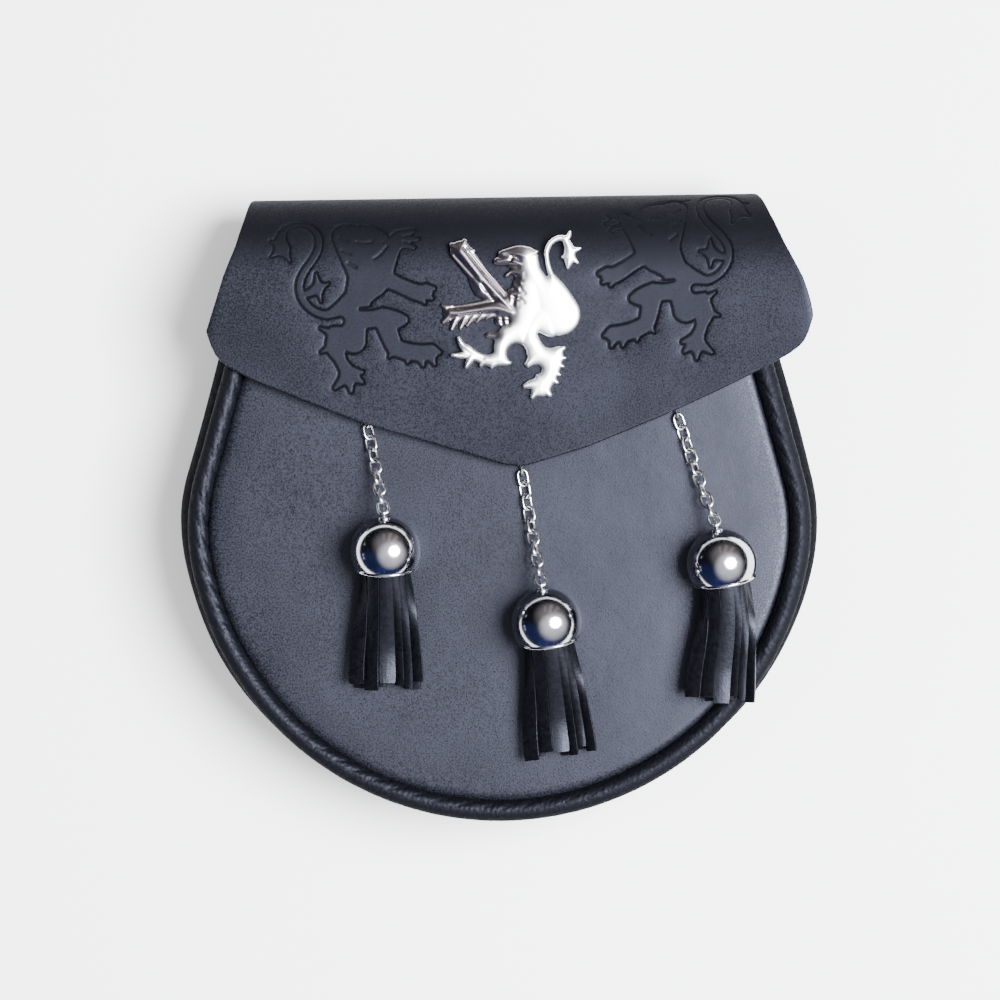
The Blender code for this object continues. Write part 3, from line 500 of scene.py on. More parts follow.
class Finish:
    """A procedural material: a Principled shader and the nodes that feed it."""

    def __init__(self, name, roughness, metallic=0.0, **sockets):
        self.material = bpy.data.materials.new(name)
        self.material.use_nodes = True
        self.tree = self.material.node_tree
        self.shader = self.tree.nodes["Principled BSDF"]
        self.put(self.shader, Roughness=roughness, Metallic=metallic)
        for socket, value in sockets.items():
            self.shader.inputs[socket.replace("_", " ")].default_value = value
        self.place = self.add("ShaderNodeTexCoord").outputs["Object"]
        self.height = None

    def add(self, kind, **settings):
        node = self.tree.nodes.new(kind)
        for name, value in settings.items():
            setattr(node, name, value)
        return node

    def put(self, node, **values):
        for name, value in values.items():
            node.inputs[name.replace("_", " ")].default_value = value

    def link(self, source, target):
        self.tree.links.new(source, target)

    def stretch(self, x, y, z, turn=0.0):
        """The place on the piece, stretched along its axes."""
        node = self.add("ShaderNodeMapping")
        node.inputs["Scale"].default_value = (x, y, z)
        node.inputs["Rotation"].default_value = (0.0, 0.0, turn)
        self.link(self.place, node.inputs["Vector"])
        return node.outputs["Vector"]

    def noise(self, size, detail=3.0, rough=0.55, place=None):
        """Cloudy variation, whose patches measure about the size given in metres."""
        node = self.add("ShaderNodeTexNoise")
        self.put(node, Scale=1.0 / size, Detail=detail, Roughness=rough)
        self.link(place or self.place, node.inputs["Vector"])
        return node.outputs["Fac"]

    def cells(self, size, feature="F1", place=None):
        node = self.add("ShaderNodeTexVoronoi", feature=feature)
        node.inputs["Scale"].default_value = 1.0 / size
        self.link(place or self.place, node.inputs["Vector"])
        return node.outputs["Distance"]

    def spread(self, source, low, high, new_low, new_high):
        """Maps low..high of a value to new_low..new_high."""
        node = self.add("ShaderNodeMapRange")
        for socket, value in zip(node.inputs[1:5], (low, high, new_low, new_high)):
            socket.default_value = value
        self.link(source, node.inputs["Value"])
        return node.outputs["Result"]

    def blend(self, share, first, second):
        """A colour between two, each a colour or a socket."""
        node = self.add("ShaderNodeMix", data_type="RGBA")
        self.link(share, node.inputs["Factor"])
        for side, value in (("A", first), ("B", second)):
            socket = [s for s in node.inputs if s.name == side and s.type == "RGBA"][0]
            if isinstance(value, tuple):
                socket.default_value = (*value, 1.0)
            else:
                self.link(value, socket)
        return [s for s in node.outputs if s.type == "RGBA"][0]

    def compute(self, operation, first, second):
        node = self.add("ShaderNodeMath", operation=operation)
        for socket, value in zip(node.inputs, (first, second)):
            if isinstance(value, (int, float)):
                socket.default_value = value
            else:
                self.link(value, socket)
        return node.outputs["Value"]

    def attribute(self, name):
        return self.add("ShaderNodeAttribute", attribute_name=name).outputs["Fac"]

    def colour(self, source):
        if isinstance(source, tuple):
            self.shader.inputs["Base Color"].default_value = (*source, 1.0)
        else:
            self.link(source, self.shader.inputs["Base Color"])

    def roughen(self, source):
        self.link(source, self.shader.inputs["Roughness"])

    def raise_by(self, source, depth, strength=1.0):
        """One layer of relief, as deep as given in metres, over the layers before it."""
        node = self.add("ShaderNodeBump")
        self.put(node, Strength=strength, Distance=depth)
        self.link(source, node.inputs["Height"])
        if self.height is not None:
            self.link(self.height, node.inputs["Normal"])
        self.height = node.outputs["Normal"]
        self.link(self.height, self.shader.inputs["Normal"])


def panel_leather(name, specular):
    """Satin black leather with a fine pebbled grain, smoother where the stamp pressed it."""
    finish = Finish(name, 0.42, Specular_IOR_Level=specular, Specular_Tint=BLUE_SHEEN)
    pressed = finish.attribute("pressed")
    keep = finish.spread(pressed, 0.0, 1.0, 1.0, 0.15)
    painted_shade = finish.attribute("painted_shade")
    clouds = finish.noise(0.030, 4.0)
    speck = finish.noise(0.00056, 2.0, 0.7)
    broad, fine = finish.compute("MULTIPLY", clouds, 0.3), finish.compute("MULTIPLY", speck, 0.7)
    tone = finish.spread(finish.compute("ADD", broad, fine), 0.40, 0.62, 0.0, 1.0)
    base = finish.blend(tone, (0.0016, 0.0017, 0.0026), (0.0108, 0.0114, 0.0160))
    base = finish.blend(finish.spread(pressed, 0.0, 1.0, 0.0, 0.8), base, (0.0050, 0.0053, 0.0076))
    # painted shade: the colour goes near black, and the leather rougher, over the flap's fold and along the
    # stamped lions' grooves, as the attribute read above marks
    finish.colour(finish.blend(painted_shade, base, (0.0004, 0.0004, 0.0006)))
    gloss = finish.spread(speck, 0.36, 0.64, 0.30, 0.55)
    finish.roughen(finish.compute("ADD", gloss, finish.compute("MULTIPLY", painted_shade, 0.4)))
    pebbles = finish.cells(0.00048, "SMOOTH_F1")
    finish.raise_by(finish.compute("MULTIPLY", pebbles, keep), 0.00005, 0.4)
    finish.raise_by(finish.compute("MULTIPLY", finish.noise(0.0006, 4.0, 0.7), keep), 0.00005, 0.5)
    finish.raise_by(finish.noise(0.014, 2.0), 0.0006, 0.25)
    return finish.material


def soft_leather(name, specular, gloss_low, gloss_high):
    """Softer black leather with a coarse pebbled grain, for the piping and the gusset."""
    finish = Finish(name, gloss_low, Specular_IOR_Level=specular, Specular_Tint=BLUE_SHEEN)
    tone = finish.spread(finish.noise(0.0012, 3.0, 0.6), 0.35, 0.65, 0.0, 1.0)
    painted_shade = finish.attribute("painted_shade")
    base = finish.blend(tone, (0.0010, 0.0010, 0.0015), (0.0026, 0.0027, 0.0040))
    # painted shade: the colour goes near black, and the leather rougher, on the piping's outer side, as the
    # attribute read above marks
    finish.colour(finish.blend(painted_shade, base, (0.0006, 0.0006, 0.0009)))
    gloss = finish.spread(finish.noise(0.0014, 2.0), 0.3, 0.7, gloss_low, gloss_high)
    finish.roughen(finish.compute("ADD", gloss, finish.compute("MULTIPLY", painted_shade, 0.35)))
    finish.raise_by(finish.cells(0.0010, "SMOOTH_F1"), 0.00018, 0.8)
    finish.raise_by(finish.noise(0.0008, 3.0, 0.6), 0.00010, 0.7)
    return finish.material


def tassel_leather():
    """The strips: smooth black leather with a soft shine and fine lengthwise marks."""
    finish = Finish("tassel_leather", 0.42, Specular_IOR_Level=0.22, Specular_Tint=BLUE_SHEEN)
    tone = finish.spread(finish.noise(0.0016, 3.0), 0.35, 0.65, 0.0, 1.0)
    finish.colour(finish.blend(tone, (0.0008, 0.0008, 0.0011), (0.0022, 0.0022, 0.0030)))
    finish.roughen(finish.spread(finish.noise(0.0020, 3.0), 0.3, 0.7, 0.34, 0.46))
    finish.raise_by(finish.noise(0.0009, 3.0, 0.6), 0.00010, 0.7)
    finish.raise_by(finish.noise(0.0022, 2.0, 0.5, finish.stretch(1.0, 0.12, 1.0)), 0.0002, 0.5)
    return finish.material


def cut_edge(name, low, high):
    """The fibrous cut edge of a piece of leather."""
    finish = Finish(name, 0.75, Specular_IOR_Level=0.3)
    tone = finish.spread(finish.noise(0.0006, 3.0, 0.7), 0.3, 0.7, 0.0, 1.0)
    finish.colour(finish.blend(tone, low, high))
    finish.roughen(finish.spread(finish.noise(0.001, 2.0), 0.3, 0.7, 0.62, 0.85))
    finish.raise_by(finish.noise(0.0004, 3.0, 0.7), 0.0001, 0.8)
    return finish.material


def plated(name, low, high, gloss_low, gloss_high, scratch):
    """Polished metal with faint smudges and hairlines."""
    finish = Finish(name, gloss_low, 1.0)
    smudge = finish.noise(0.004, 4.0, 0.6)
    finish.colour(finish.blend(finish.spread(smudge, 0.35, 0.65, 0.0, 1.0), low, high))
    finish.roughen(finish.spread(smudge, 0.35, 0.7, gloss_low, gloss_high))
    hairs = finish.noise(0.0008, 3.0, 0.6, finish.stretch(1.0, 0.08, 1.0, 0.6))
    finish.raise_by(hairs, scratch, 0.25)
    return finish.material


def cast_metal():
    """The badge's plating: satin on the body, a finer polish on the head and the forelegs. The body's
    near-white colour is a painted highlight, and the darker, browner head and forelegs are painted shade.
    """
    finish = Finish("cast_metal", 0.2, 1.0)
    painted_light_share = finish.attribute("painted_light_share")
    smudge = finish.noise(0.005, 4.0, 0.6)
    # painted highlight on the body, painted shade on the head and the forelegs
    finish.colour(finish.blend(painted_light_share, (0.28, 0.25, 0.27), (0.97, 0.97, 0.98)))
    gloss = finish.spread(smudge, 0.3, 0.7, 0.0, 0.05)
    finish.roughen(finish.compute("ADD", gloss, finish.spread(painted_light_share, 0.0, 1.0, 0.26, 0.36)))
    finish.raise_by(finish.noise(0.0011, 3.0, 0.6), 0.00004, 0.35)
    return finish.material


def thread():
    """Waxed black thread with its twist."""
    finish = Finish("thread", 0.55, Specular_IOR_Level=0.4)
    twist = finish.noise(0.0004, 2.0, 0.5, finish.stretch(1.0, 1.0, 1.0, 0.7))
    tone = finish.spread(twist, 0.35, 0.65, 0.0, 1.0)
    finish.colour(finish.blend(tone, (0.02, 0.02, 0.022), (0.07, 0.07, 0.075)))
    finish.roughen(finish.spread(twist, 0.3, 0.7, 0.45, 0.7))
    finish.raise_by(twist, 0.0001, 0.8)
    return finish.material


def floor_finish():
    finish = Finish("pale_floor", 0.8, Specular_IOR_Level=0.2)
    finish.colour(finish.blend(finish.noise(0.5, 2.0), (0.93, 0.93, 0.93), (0.95, 0.95, 0.95)))
    finish.roughen(finish.spread(finish.noise(0.05, 2.0), 0.3, 0.7, 0.75, 0.9))
    return finish.material


PANEL = panel_leather("panel_leather", 0.22)
FLAP = panel_leather("flap_leather", 0.12)
PIPING = soft_leather("piping_leather", 0.15, 0.42, 0.56)
WALL = soft_leather("gusset_leather", 0.03, 0.72, 0.88)
TASSEL = tassel_leather()
FLAP_EDGE = cut_edge("flap_edge", (0.004, 0.004, 0.005), (0.011, 0.011, 0.013))
# the strips' cut edges are pale grey, far lighter than their faces: partly the raw edge's own lighter tone,
# partly a painted highlight along each strip's edge
STRIP_EDGE = cut_edge("strip_edge", (0.08, 0.08, 0.09), (0.32, 0.31, 0.34))
CHROME = plated("chrome", (0.42, 0.42, 0.46), (0.50, 0.50, 0.54), 0.11, 0.16, 0.00002)
CAST_METAL = cast_metal()
CHAIN_METAL = plated("chain_metal", (0.64, 0.64, 0.66), (0.78, 0.78, 0.80), 0.16, 0.26, 0.00003)
STEEL = plated("nickelled_steel", (0.50, 0.51, 0.53), (0.62, 0.63, 0.65), 0.20, 0.34, 0.00004)
THREAD = thread()


# --- the body ----------------------------------------------------------------------------------


def edge_arcs(offset):
    """The body's edge, moved out: its two radii, the shoulder's middle, and where the side starts."""
    belly = BELLY_RADIUS + offset
    shoulder = SHOULDER_RADIUS + offset
    step_in = BELLY_RADIUS - SHOULDER_RADIUS
    hub_x = step_in * math.cos(BELLY_END)
    hub_y = BELLY_CENTRE_Y + step_in * math.sin(BELLY_END)
    side_x = hub_x + shoulder * math.cos(SIDE_LEAN)
    side_y = hub_y + shoulder * math.sin(SIDE_LEAN)
    return belly, shoulder, (hub_x, hub_y), (side_x, side_y)


def body_edge(share, offset):
    """Place, outward direction and length of the body's edge, from the mouth's left end to the right."""
    belly, shoulder, (hub_x, hub_y), (side_x, side_y) = edge_arcs(offset)
    belly_run = belly * (BELLY_END + math.pi / 2)
    shoulder_run = shoulder * (SIDE_LEAN - BELLY_END)
    side_run = (MOUTH_Y - side_y) / math.cos(SIDE_LEAN)
    run = np.abs(share * 2.0 - 1.0) * (belly_run + shoulder_run + side_run)
    on_belly = run <= belly_run
    on_shoulder = ~on_belly & (run <= belly_run + shoulder_run)
    turn = np.where(on_belly, -math.pi / 2 + run / belly, BELLY_END + (run - belly_run) / shoulder)
    turn = np.where(on_belly | on_shoulder, turn, SIDE_LEAN)
    rest = run - belly_run - shoulder_run
    stretches = [on_belly, on_shoulder]
    x = np.select(stretches, [belly * np.cos(turn), hub_x + shoulder * np.cos(turn)],
                  side_x - rest * math.sin(SIDE_LEAN))
    y = np.select(stretches, [BELLY_CENTRE_Y + belly * np.sin(turn), hub_y + shoulder * np.sin(turn)],
                  side_y + rest * math.cos(SIDE_LEAN))
    side = np.where(share < 0.5, -1.0, 1.0)
    length = 2.0 * (belly_run + shoulder_run + side_run)
    return x * side, y, np.cos(turn) * side, np.sin(turn), length


def front_height(x, y):
    reach = np.hypot(x, y) / BELLY_RADIUS
    return FRONT_Z + FRONT_CROWN * np.maximum(0.0, 1.0 - reach * reach)


def cut_panel(name, offset):
    """A D-shaped face, left in edit mode: half the edge is spun and drawn, mirrored and filled."""
    let_go()
    bpy.ops.mesh.primitive_circle_add(vertices=3, radius=MM, location=(0.0, 0.0, 0.0))
    panel = named(name)
    start_edit(panel, "VERT")
    choose_all()
    bpy.ops.mesh.merge(type="CENTER")
    belly, _, hub, (_, side_y) = edge_arcs(offset)
    move(0.0, BELLY_CENTRE_Y - belly)
    centre = (0.0, BELLY_CENTRE_Y, 0.0)
    bpy.ops.mesh.spin(steps=48, angle=BELLY_END + math.pi / 2, center=centre, axis=(0.0, 0.0, -1.0))
    bpy.ops.mesh.spin(steps=10, angle=SIDE_LEAN - BELLY_END, center=(*hub, 0.0), axis=(0.0, 0.0, -1.0))
    rise = MOUTH_Y - side_y
    step = (-rise * math.tan(SIDE_LEAN) / SIDE_STEPS, rise / SIDE_STEPS, 0.0)
    for _ in range(SIDE_STEPS):
        bpy.ops.mesh.extrude_vertices_move(TRANSFORM_OT_translate={"value": step})
    let_go()
    finish_with(panel, "MIRROR", merge_threshold=0.00005)
    start_edit(panel, "VERT")
    choose_all()
    bpy.ops.mesh.edge_face_add()
    return panel


def roll_edge(roll, side, rings):
    """Insets the chosen face so that its edge rolls over, and fills its middle with rings of faces."""
    for inset, rise in roll:
        bpy.ops.mesh.inset(thickness=inset * MM, depth=0.0)
        move(z=side * rise * MM)
    for ring in range(rings, 0, -1):
        size = (ring - 0.4) / (ring + 0.6)
        bpy.ops.mesh.extrude_region_move()
        resize(size, size, 1.0, (0.0, 0.0, 0.0))
    bpy.ops.mesh.poke()


def thicken_panel(panel, thickness, roll, node):
    """Gives a rolled face its thickness and its leather. The roll takes its height from the thickness."""
    depth = sum(rise for _, rise in roll) * MM
    finish_with(panel, "SOLIDIFY", thickness=thickness - depth, offset=-1.0)
    smooth(panel, 60.0)
    dress(panel, PANEL)
    hand_over(panel, "panel_leather", node)


def front_panel():
    """The front: a crowned face with an edge that rolls down into the seam."""
    panel = cut_panel("front_panel_leather", FRONT_OFFSET)
    roll_edge(FRONT_ROLL, 1.0, 10)
    let_go()
    spots = points_of(panel)
    drop = spots[:, 2].max() - spots[:, 2]
    x, y = spots[:, 0], spots[:, 1]
    uneven = 0.16 * MM * drift(x, y, 0.085, 1.3) * np.clip(1.0 - drop / (0.2 * MM), 0.0, 1.0)
    spots[:, 2] = front_height(x, y) - drop + uneven
    put_points(panel, spots)
    thicken_panel(panel, FRONT_THICKNESS, FRONT_ROLL, "front_panel")


def back_panel():
    """The back: a flat face that looks down, with its edge turned up into the seam."""
    panel = cut_panel("back_panel_leather", BACK_OFFSET)
    roll_edge(BACK_ROLL, -1.0, 8)
    choose_all()
    bpy.ops.mesh.flip_normals()
    let_go()
    spots = points_of(panel)
    spots[:, 2] += BACK_LOW_Z - spots[:, 2].min()
    put_points(panel, spots)
    thicken_panel(panel, BACK_THICKNESS, BACK_ROLL, "back_panel")


def close_ends(piece):
    """Fills each open end of a tube."""
    for side in (-1.0, 1.0):
        start_edit(piece, "EDGE")
        choose(piece, "EDGE", lambda edge: edge.is_boundary and edge.verts[0].co.x * side > 0.0)
        bpy.ops.mesh.edge_face_add()
    let_go()


def piping(name, node, z, seed):
    """A cord wrapped in soft leather: slanted puckers, deepest on the side of the seam."""
    outer_side_shade = []

    def place(around, along):
        x, y, out_x, out_y, length = body_edge(along, PIPING_OFFSET)
        turn = around * 2.0 * np.pi
        run = along * length
        slant = run + 1.9 * MM * np.sin(turn + 0.9) + 1.1 * MM * drift(run, turn * 3.0 * MM, 0.019, seed)
        wander = 1.3 * drift(run, turn * MM, 0.007, seed + 2.0)
        pucker = np.abs(np.sin(np.pi * slant / PUCKER_PERIOD + wander))
        fold_run = run + LONG_FOLD_SLANT * np.cos(turn)
        long_fold = np.abs(np.sin(np.pi * fold_run / LONG_FOLD_PERIOD + drift(run, turn * MM, 0.03, seed)))
        patch = np.clip(0.6 + 1.2 * drift(run, 0.0, 0.075, seed + 3.0), 0.1, 1.2)
        depth = 0.10 + 0.09 * drift(run, turn * 2.0 * MM, 0.013, seed + 4.0)
        seam = 0.55 + 0.45 * np.cos(turn - math.pi)
        sunk = depth * (1.0 - pucker) ** 1.5 + 0.34 * patch * seam * (1.0 - long_fold) ** 2
        radius = PIPING_RADIUS - MM * sunk + 0.05 * MM * drift(run, turn * 3.0 * MM, 0.011, seed + 7.0)
        reach = radius * np.cos(turn)
        # painted shade on the cord's outer side, which faces away from the light: full on the outside,
        # fading out over the top
        outer_side_shade.append(np.clip(0.2 + 1.2 * np.cos(turn), 0.0, 1.0))
        return x + out_x * reach, y + out_y * reach, z + radius * np.sin(turn)

    cord = lay_grid(name, 44, 860, place)
    mark(cord, "painted_shade", outer_side_shade[-1])
    start_edit(cord, "VERT")
    choose_all()
    bpy.ops.mesh.remove_doubles(threshold=0.00001)
    close_ends(cord)
    start_edit(cord)
    face_outwards()
    smooth(cord, 75.0)
    dress(cord, PIPING)
    hand_over(cord, "soft_leather", node)


def gusset():
    """The soft wall between the seams: a full bulge, gathered in short puckers at both seams."""

    def place(rise, along):
        x, y, out_x, out_y, length = body_edge(along, 0.0)
        run = along * length
        side = np.clip(1.0 + y / BELLY_RADIUS, 0.0, 1.0)
        bulge = GUSSET_BULGE[0] + (GUSSET_BULGE[1] - GUSSET_BULGE[0]) * side
        swell = 1.0 - np.abs(2.0 * rise - 1.0) ** 2.42
        near_seam = np.abs(2.0 * rise - 1.0) ** 3
        gather = np.sin(run * 2.0 * np.pi / GATHER_PERIOD + 2.2 * drift(run, rise * 0.02, 0.04, 2.0))
        ease = 0.32 * MM * near_seam * (1.0 - near_seam) * 4.0 * gather
        sag = 0.35 * MM * drift(run, rise * 0.02, 0.045, 5.0) * swell
        reach = GUSSET_SEAM + bulge * swell + ease + sag
        z = GUSSET_LOW_Z + rise * (GUSSET_HIGH_Z - GUSSET_LOW_Z)
        return x + out_x * reach, y + out_y * reach, z

    wall = lay_grid("gusset_leather", 26, 520, place)
    start_edit(wall)
    choose_all()
    lowest = min(bmesh.from_edit_mesh(wall.data).faces, key=lambda face: face.calc_center_median().y)
    lowest.normal_update()
    if lowest.normal.y > 0.0:
        bpy.ops.mesh.flip_normals()
    let_go()
    finish_with(wall, "SOLIDIFY", thickness=GUSSET_THICKNESS, offset=-1.0)
    smooth(wall, 60.0)
    dress(wall, WALL)
    hand_over(wall, "soft_leather", "gusset")


# --- the flap ----------------------------------------------------------------------------------


def fold_course():
    """The sheet's middle line seen from the side: front, fold and tail, as run, y and z."""
    quarter = np.linspace(0.0, math.pi / 2, COURSE_STEPS)[1:]
    middle_z = (FLAP_FRONT_Z + FLAP_BACK_Z) / 2
    eased_y = FOLD_Y - FOLD_EASE
    y = np.concatenate([
        np.linspace(0.0, eased_y, COURSE_STEPS),
        eased_y + (FOLD_RADIUS + FOLD_EASE) * np.sin(quarter),
        FOLD_Y + FOLD_RADIUS * np.cos(quarter),
        np.linspace(FOLD_Y, 0.0, COURSE_STEPS)[1:],
    ])
    z = np.concatenate([
        np.full(COURSE_STEPS, FLAP_FRONT_Z),
        middle_z + FOLD_RADIUS * np.cos(quarter),
        middle_z - FOLD_RADIUS * np.sin(quarter),
        np.full(COURSE_STEPS - 1, FLAP_BACK_Z),
    ])
    run = np.concatenate([[0.0], np.cumsum(np.hypot(np.diff(y), np.diff(z)))])
    return run, y, z


COURSE_RUN, COURSE_Y, COURSE_Z = fold_course()
FOLD_START = COURSE_RUN[COURSE_STEPS - 1]
FOLD_END = COURSE_RUN[-COURSE_STEPS]
TAIL_RUN = FOLD_END + FOLD_Y - TAIL_END_Y


def smooth_course(points, steps=5):
    """Extra points along a course of points, so that it bends smoothly through each of them."""
    if len(points) == 2:
        return list(points)
    known = np.array((points[0], *points, points[-1]), dtype=float)
    course = []
    for a, b, c, d in zip(known, known[1:], known[2:], known[3:]):
        for step in range(steps):
            t = step / steps
            course.append(0.5 * (2 * b + (c - a) * t + (2 * a - 5 * b + 4 * c - d) * t**2
                                 + (3 * b - 3 * c + d - a) * t**3))
    course.append(known[-1])
    return course


def limb_distance(x, y, limb):
    """Distance in mm from places to one limb, below 0 inside it."""
    course = smooth_course(limb)
    nearest = np.full(len(x), 1e3)
    for (x0, y0, r0), (x1, y1, r1) in zip(course, course[1:]):
        dx, dy = x1 - x0, y1 - y0
        share = np.clip(((x - x0) * dx + (y - y0) * dy) / (dx * dx + dy * dy), 0.0, 1.0)
        away = np.hypot(x - x0 - dx * share, y - y0 - dy * share) - (r0 + (r1 - r0) * share)
        nearest = np.minimum(nearest, away)
    return nearest


def figure_distance(x, y, limbs, cuts=(), soften=0.35):
    """Distance in mm to a figure of limbs that run into each other, below 0 inside it."""
    total = np.zeros(len(x))
    for limb in limbs:
        total += np.exp(-np.clip(limb_distance(x, y, limb), -12.0, 25.0) / soften)
    distance = -soften * np.log(total + 1e-30)
    for cut in cuts:
        distance = np.maximum(distance, -limb_distance(x, y, cut))
    return distance


def line_distance(x, y, lines):
    nearest = np.full(len(x), 1e3)
    for line in lines:
        nearest = np.minimum(nearest, limb_distance(x, y, [(px, py, 0.0) for px, py in line]))
    return nearest


def on_stamp(x, y, stamp):
    """Places on the flat sheet, in metres, as places on a stamp, in mm."""
    middle_x, middle_y, turn, scale, facing = stamp
    turn = math.radians(turn)
    east, north = x / MM - middle_x, y / MM - middle_y
    along = (east * math.cos(turn) + north * math.sin(turn)) / scale
    up = (north * math.cos(turn) - east * math.sin(turn)) / scale
    return along * facing, up


def stamp_distance(x, y):
    """Distance in mm to the outline of the pressed lions, and to the creases inside them."""
    nearest = np.full(len(x), 1e3)
    creases = np.full(len(x), 1e3)
    for stamp in STAMPS:
        east, north = on_stamp(x, y, stamp)
        close = (np.abs(east) < 40.0) & (np.abs(north) < 40.0)
        east, north = east[close], north[close]
        figure = figure_distance(east, north, PRESSED_LION, PRESSED_CUTS)
        nearest[close] = np.minimum(nearest[close], figure)
        creases[close] = np.minimum(creases[close], line_distance(east, north, PRESSED_LINES))
    return nearest, creases


def eased_hem():
    """The front edge of the flat sheet, as shares across it and y there, with its corners softened."""
    hem_x, hem_y = np.array(HEM).T * MM
    across = np.linspace(0.0, 1.0, 801)
    even = np.interp(hem_x[0] + across * (hem_x[-1] - hem_x[0]), hem_x, hem_y)
    padded = np.pad(even, 8, mode="reflect", reflect_type="odd")
    return across, np.convolve(padded, np.full(17, 1.0 / 17.0), mode="valid")


def flat_sheet():
    """The flap as it was cut: flat, with its thickness and softened edges."""
    shares, hem = eased_hem()
    hem_left, hem_right = HEM[0][0] * MM, HEM[-1][0] * MM
    turns, lefts, rights = np.array(FLAP_SIDES).T
    lefts, rights = lefts * MM, rights * MM
    side_runs = FOLD_START + (FOLD_END - FOLD_START) * turns / 180.0

    def place(across, along):
        share = np.clip(along / FRONT_SHARE, 0.0, 1.0)
        beyond = np.clip((along - FRONT_SHARE) / (1.0 - FRONT_SHARE), 0.0, 1.0)
        low_x = hem_left + across * (hem_right - hem_left)
        low_y = np.interp(across, shares, hem)
        top_x = lefts[0] + across * (rights[0] - lefts[0])
        back_y = FOLD_START + beyond * (TAIL_RUN - FOLD_START)
        left = np.interp(back_y, side_runs, lefts)
        right = np.interp(back_y, side_runs, rights)
        in_front = along <= FRONT_SHARE
        bow = share ** (1.0 + 0.5 * across)
        x = np.where(in_front, low_x + (top_x - low_x) * bow, left + across * (right - left))
        y = np.where(in_front, low_y + (FOLD_START - low_y) * share, back_y)
        return x, y, np.zeros(len(x))

    sheet = lay_grid("flap_leather", 128, 96, place)
    finish_with(sheet, "SOLIDIFY", thickness=FLAP_THICKNESS, offset=0.0, material_offset_rim=1)
    dress(sheet, FLAP, FLAP_EDGE)
    start_edit(sheet, "EDGE")
    choose(sheet, "EDGE", lambda edge: edge.calc_face_angle(0.0) > 1.0)
    bpy.ops.mesh.bevel(offset=EDGE_ROUND, segments=3, affect="EDGES")
    let_go()
    return sheet


def refine_stamps(sheet):
    """Smaller and smaller faces near the outlines that the stamps leave."""
    start_edit(sheet)
    for reach in STAMP_REACHES:
        middles = face_middles(sheet)
        distance, creases = stamp_distance(middles[:, 0], middles[:, 1])
        close = np.minimum(np.abs(distance), creases) < reach
        select_faces(sheet, close & (middles[:, 2] > 1.0 * MM))
        bpy.ops.mesh.subdivide(number_cuts=1)
    let_go()


def stamp_relief(x, y):
    """How deep the stamps sank in mm, how smooth they pressed the leather, and how much shade is painted
    into their lines.
    """
    distance, creases = stamp_distance(x, y)
    inside = np.clip((0.15 - distance) / 0.9, 0.0, 1.0)
    inside = inside * inside * (3.0 - 2.0 * inside)
    groove = np.exp(-((distance + 0.05) / 0.34) ** 2)
    crease = np.exp(-((creases - 0.1) / 0.4) ** 2)
    pull = 0.24 * np.exp(-np.maximum(distance, 0.0) / 1.7)
    sunk = 0.16 * inside + pull + 0.36 * groove + 0.30 * crease
    return sunk, np.clip(inside + 0.5 * groove, 0.0, 1.0), np.clip(groove * 1.3 + 0.4 * crease, 0.0, 1.0)


def fold_over(x, y, z):
    """Points of the flat sheet where they lie once it is folded, and each one's share of the turn."""
    turned = np.clip((y - FOLD_START) / (FOLD_END - FOLD_START), 0.0, 1.0)
    lean = np.clip(0.5 - x / (165.0 * MM), 0.0, 1.0)
    depth = np.interp(y, COURSE_RUN, COURSE_Y) - FOLD_SKEW * np.sin(np.pi * turned) * lean
    curl = np.clip((x - CURL_START) / CURL_REACH, 0.0, 1.0) ** 1.5
    height = np.interp(y, COURSE_RUN, COURSE_Z) + EDGE_LIFT * curl * np.cos(np.pi * turned / 2) ** 2
    step = 0.2 * MM
    slope_y = np.interp(y + step, COURSE_RUN, COURSE_Y) - np.interp(y - step, COURSE_RUN, COURSE_Y)
    slope_z = np.interp(y + step, COURSE_RUN, COURSE_Z) - np.interp(y - step, COURSE_RUN, COURSE_Z)
    length = np.hypot(slope_y, slope_z)
    wave = FLAP_WAVE * drift(x, y, 0.11, 3.1) * np.clip((FOLD_START - y) / 0.02, 0.0, 1.0)
    out = z + wave
    return np.column_stack([x, depth - out * slope_z / length, height + out * slope_y / length]), turned


def flap():
    """One leather sheet, cut flat, stamped with the two lions and then folded over."""
    sheet = flat_sheet()
    refine_stamps(sheet)
    x, y, z = points_of(sheet).T
    top = z > 0.9 * MM
    sunk, pressed, groove_shade = stamp_relief(x, y)
    spots, turned = fold_over(x, y, z - np.where(top, sunk * MM, 0.0))
    put_points(sheet, spots)
    # painted shade: darkest in the middle of the fold, where the sheet turns away from the light, and along
    # the stamped lions' grooves and creases
    folded = np.clip(np.sin(np.pi * turned) * 1.4 - 0.1, 0.0, 0.9)
    mark(sheet, "pressed", np.where(top, pressed, 0.0))
    mark(sheet, "painted_shade", np.maximum(folded, np.where(top, groove_shade, 0.0)))
    smooth(sheet, 50.0)
    hand_over(sheet, "panel_leather", "flap")


# --- the back's fittings -------------------------------------------------------------------------


def stitch_row(name, spots):
    """A row of slanted stitches, each a short sunk thread, at places on a face that looks down."""
    let_go()
    bpy.ops.mesh.primitive_uv_sphere_add(segments=10, ring_count=8, radius=STITCH_RADIUS)
    model = named(name)
    start_edit(model)
    choose(model, "VERT", lambda vert: vert.co.x > 0.01 * MM)
    move(x=STITCH_REACH)
    choose(model, "VERT", lambda vert: vert.co.x < -0.01 * MM)
    move(x=-STITCH_REACH)
    let_go()
    slant = Matrix.Rotation(STITCH_SLANT, 4, "Z")
    stitches = []
    for number, spot in enumerate(spots):
        stitches.append(copied(model, f"{name}_{number}", Matrix.Translation(spot) @ slant))
    discard(model)
    row = joined(name, stitches)
    smooth(row, 60.0)
    dress(row, THREAD)
    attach(row, "root")


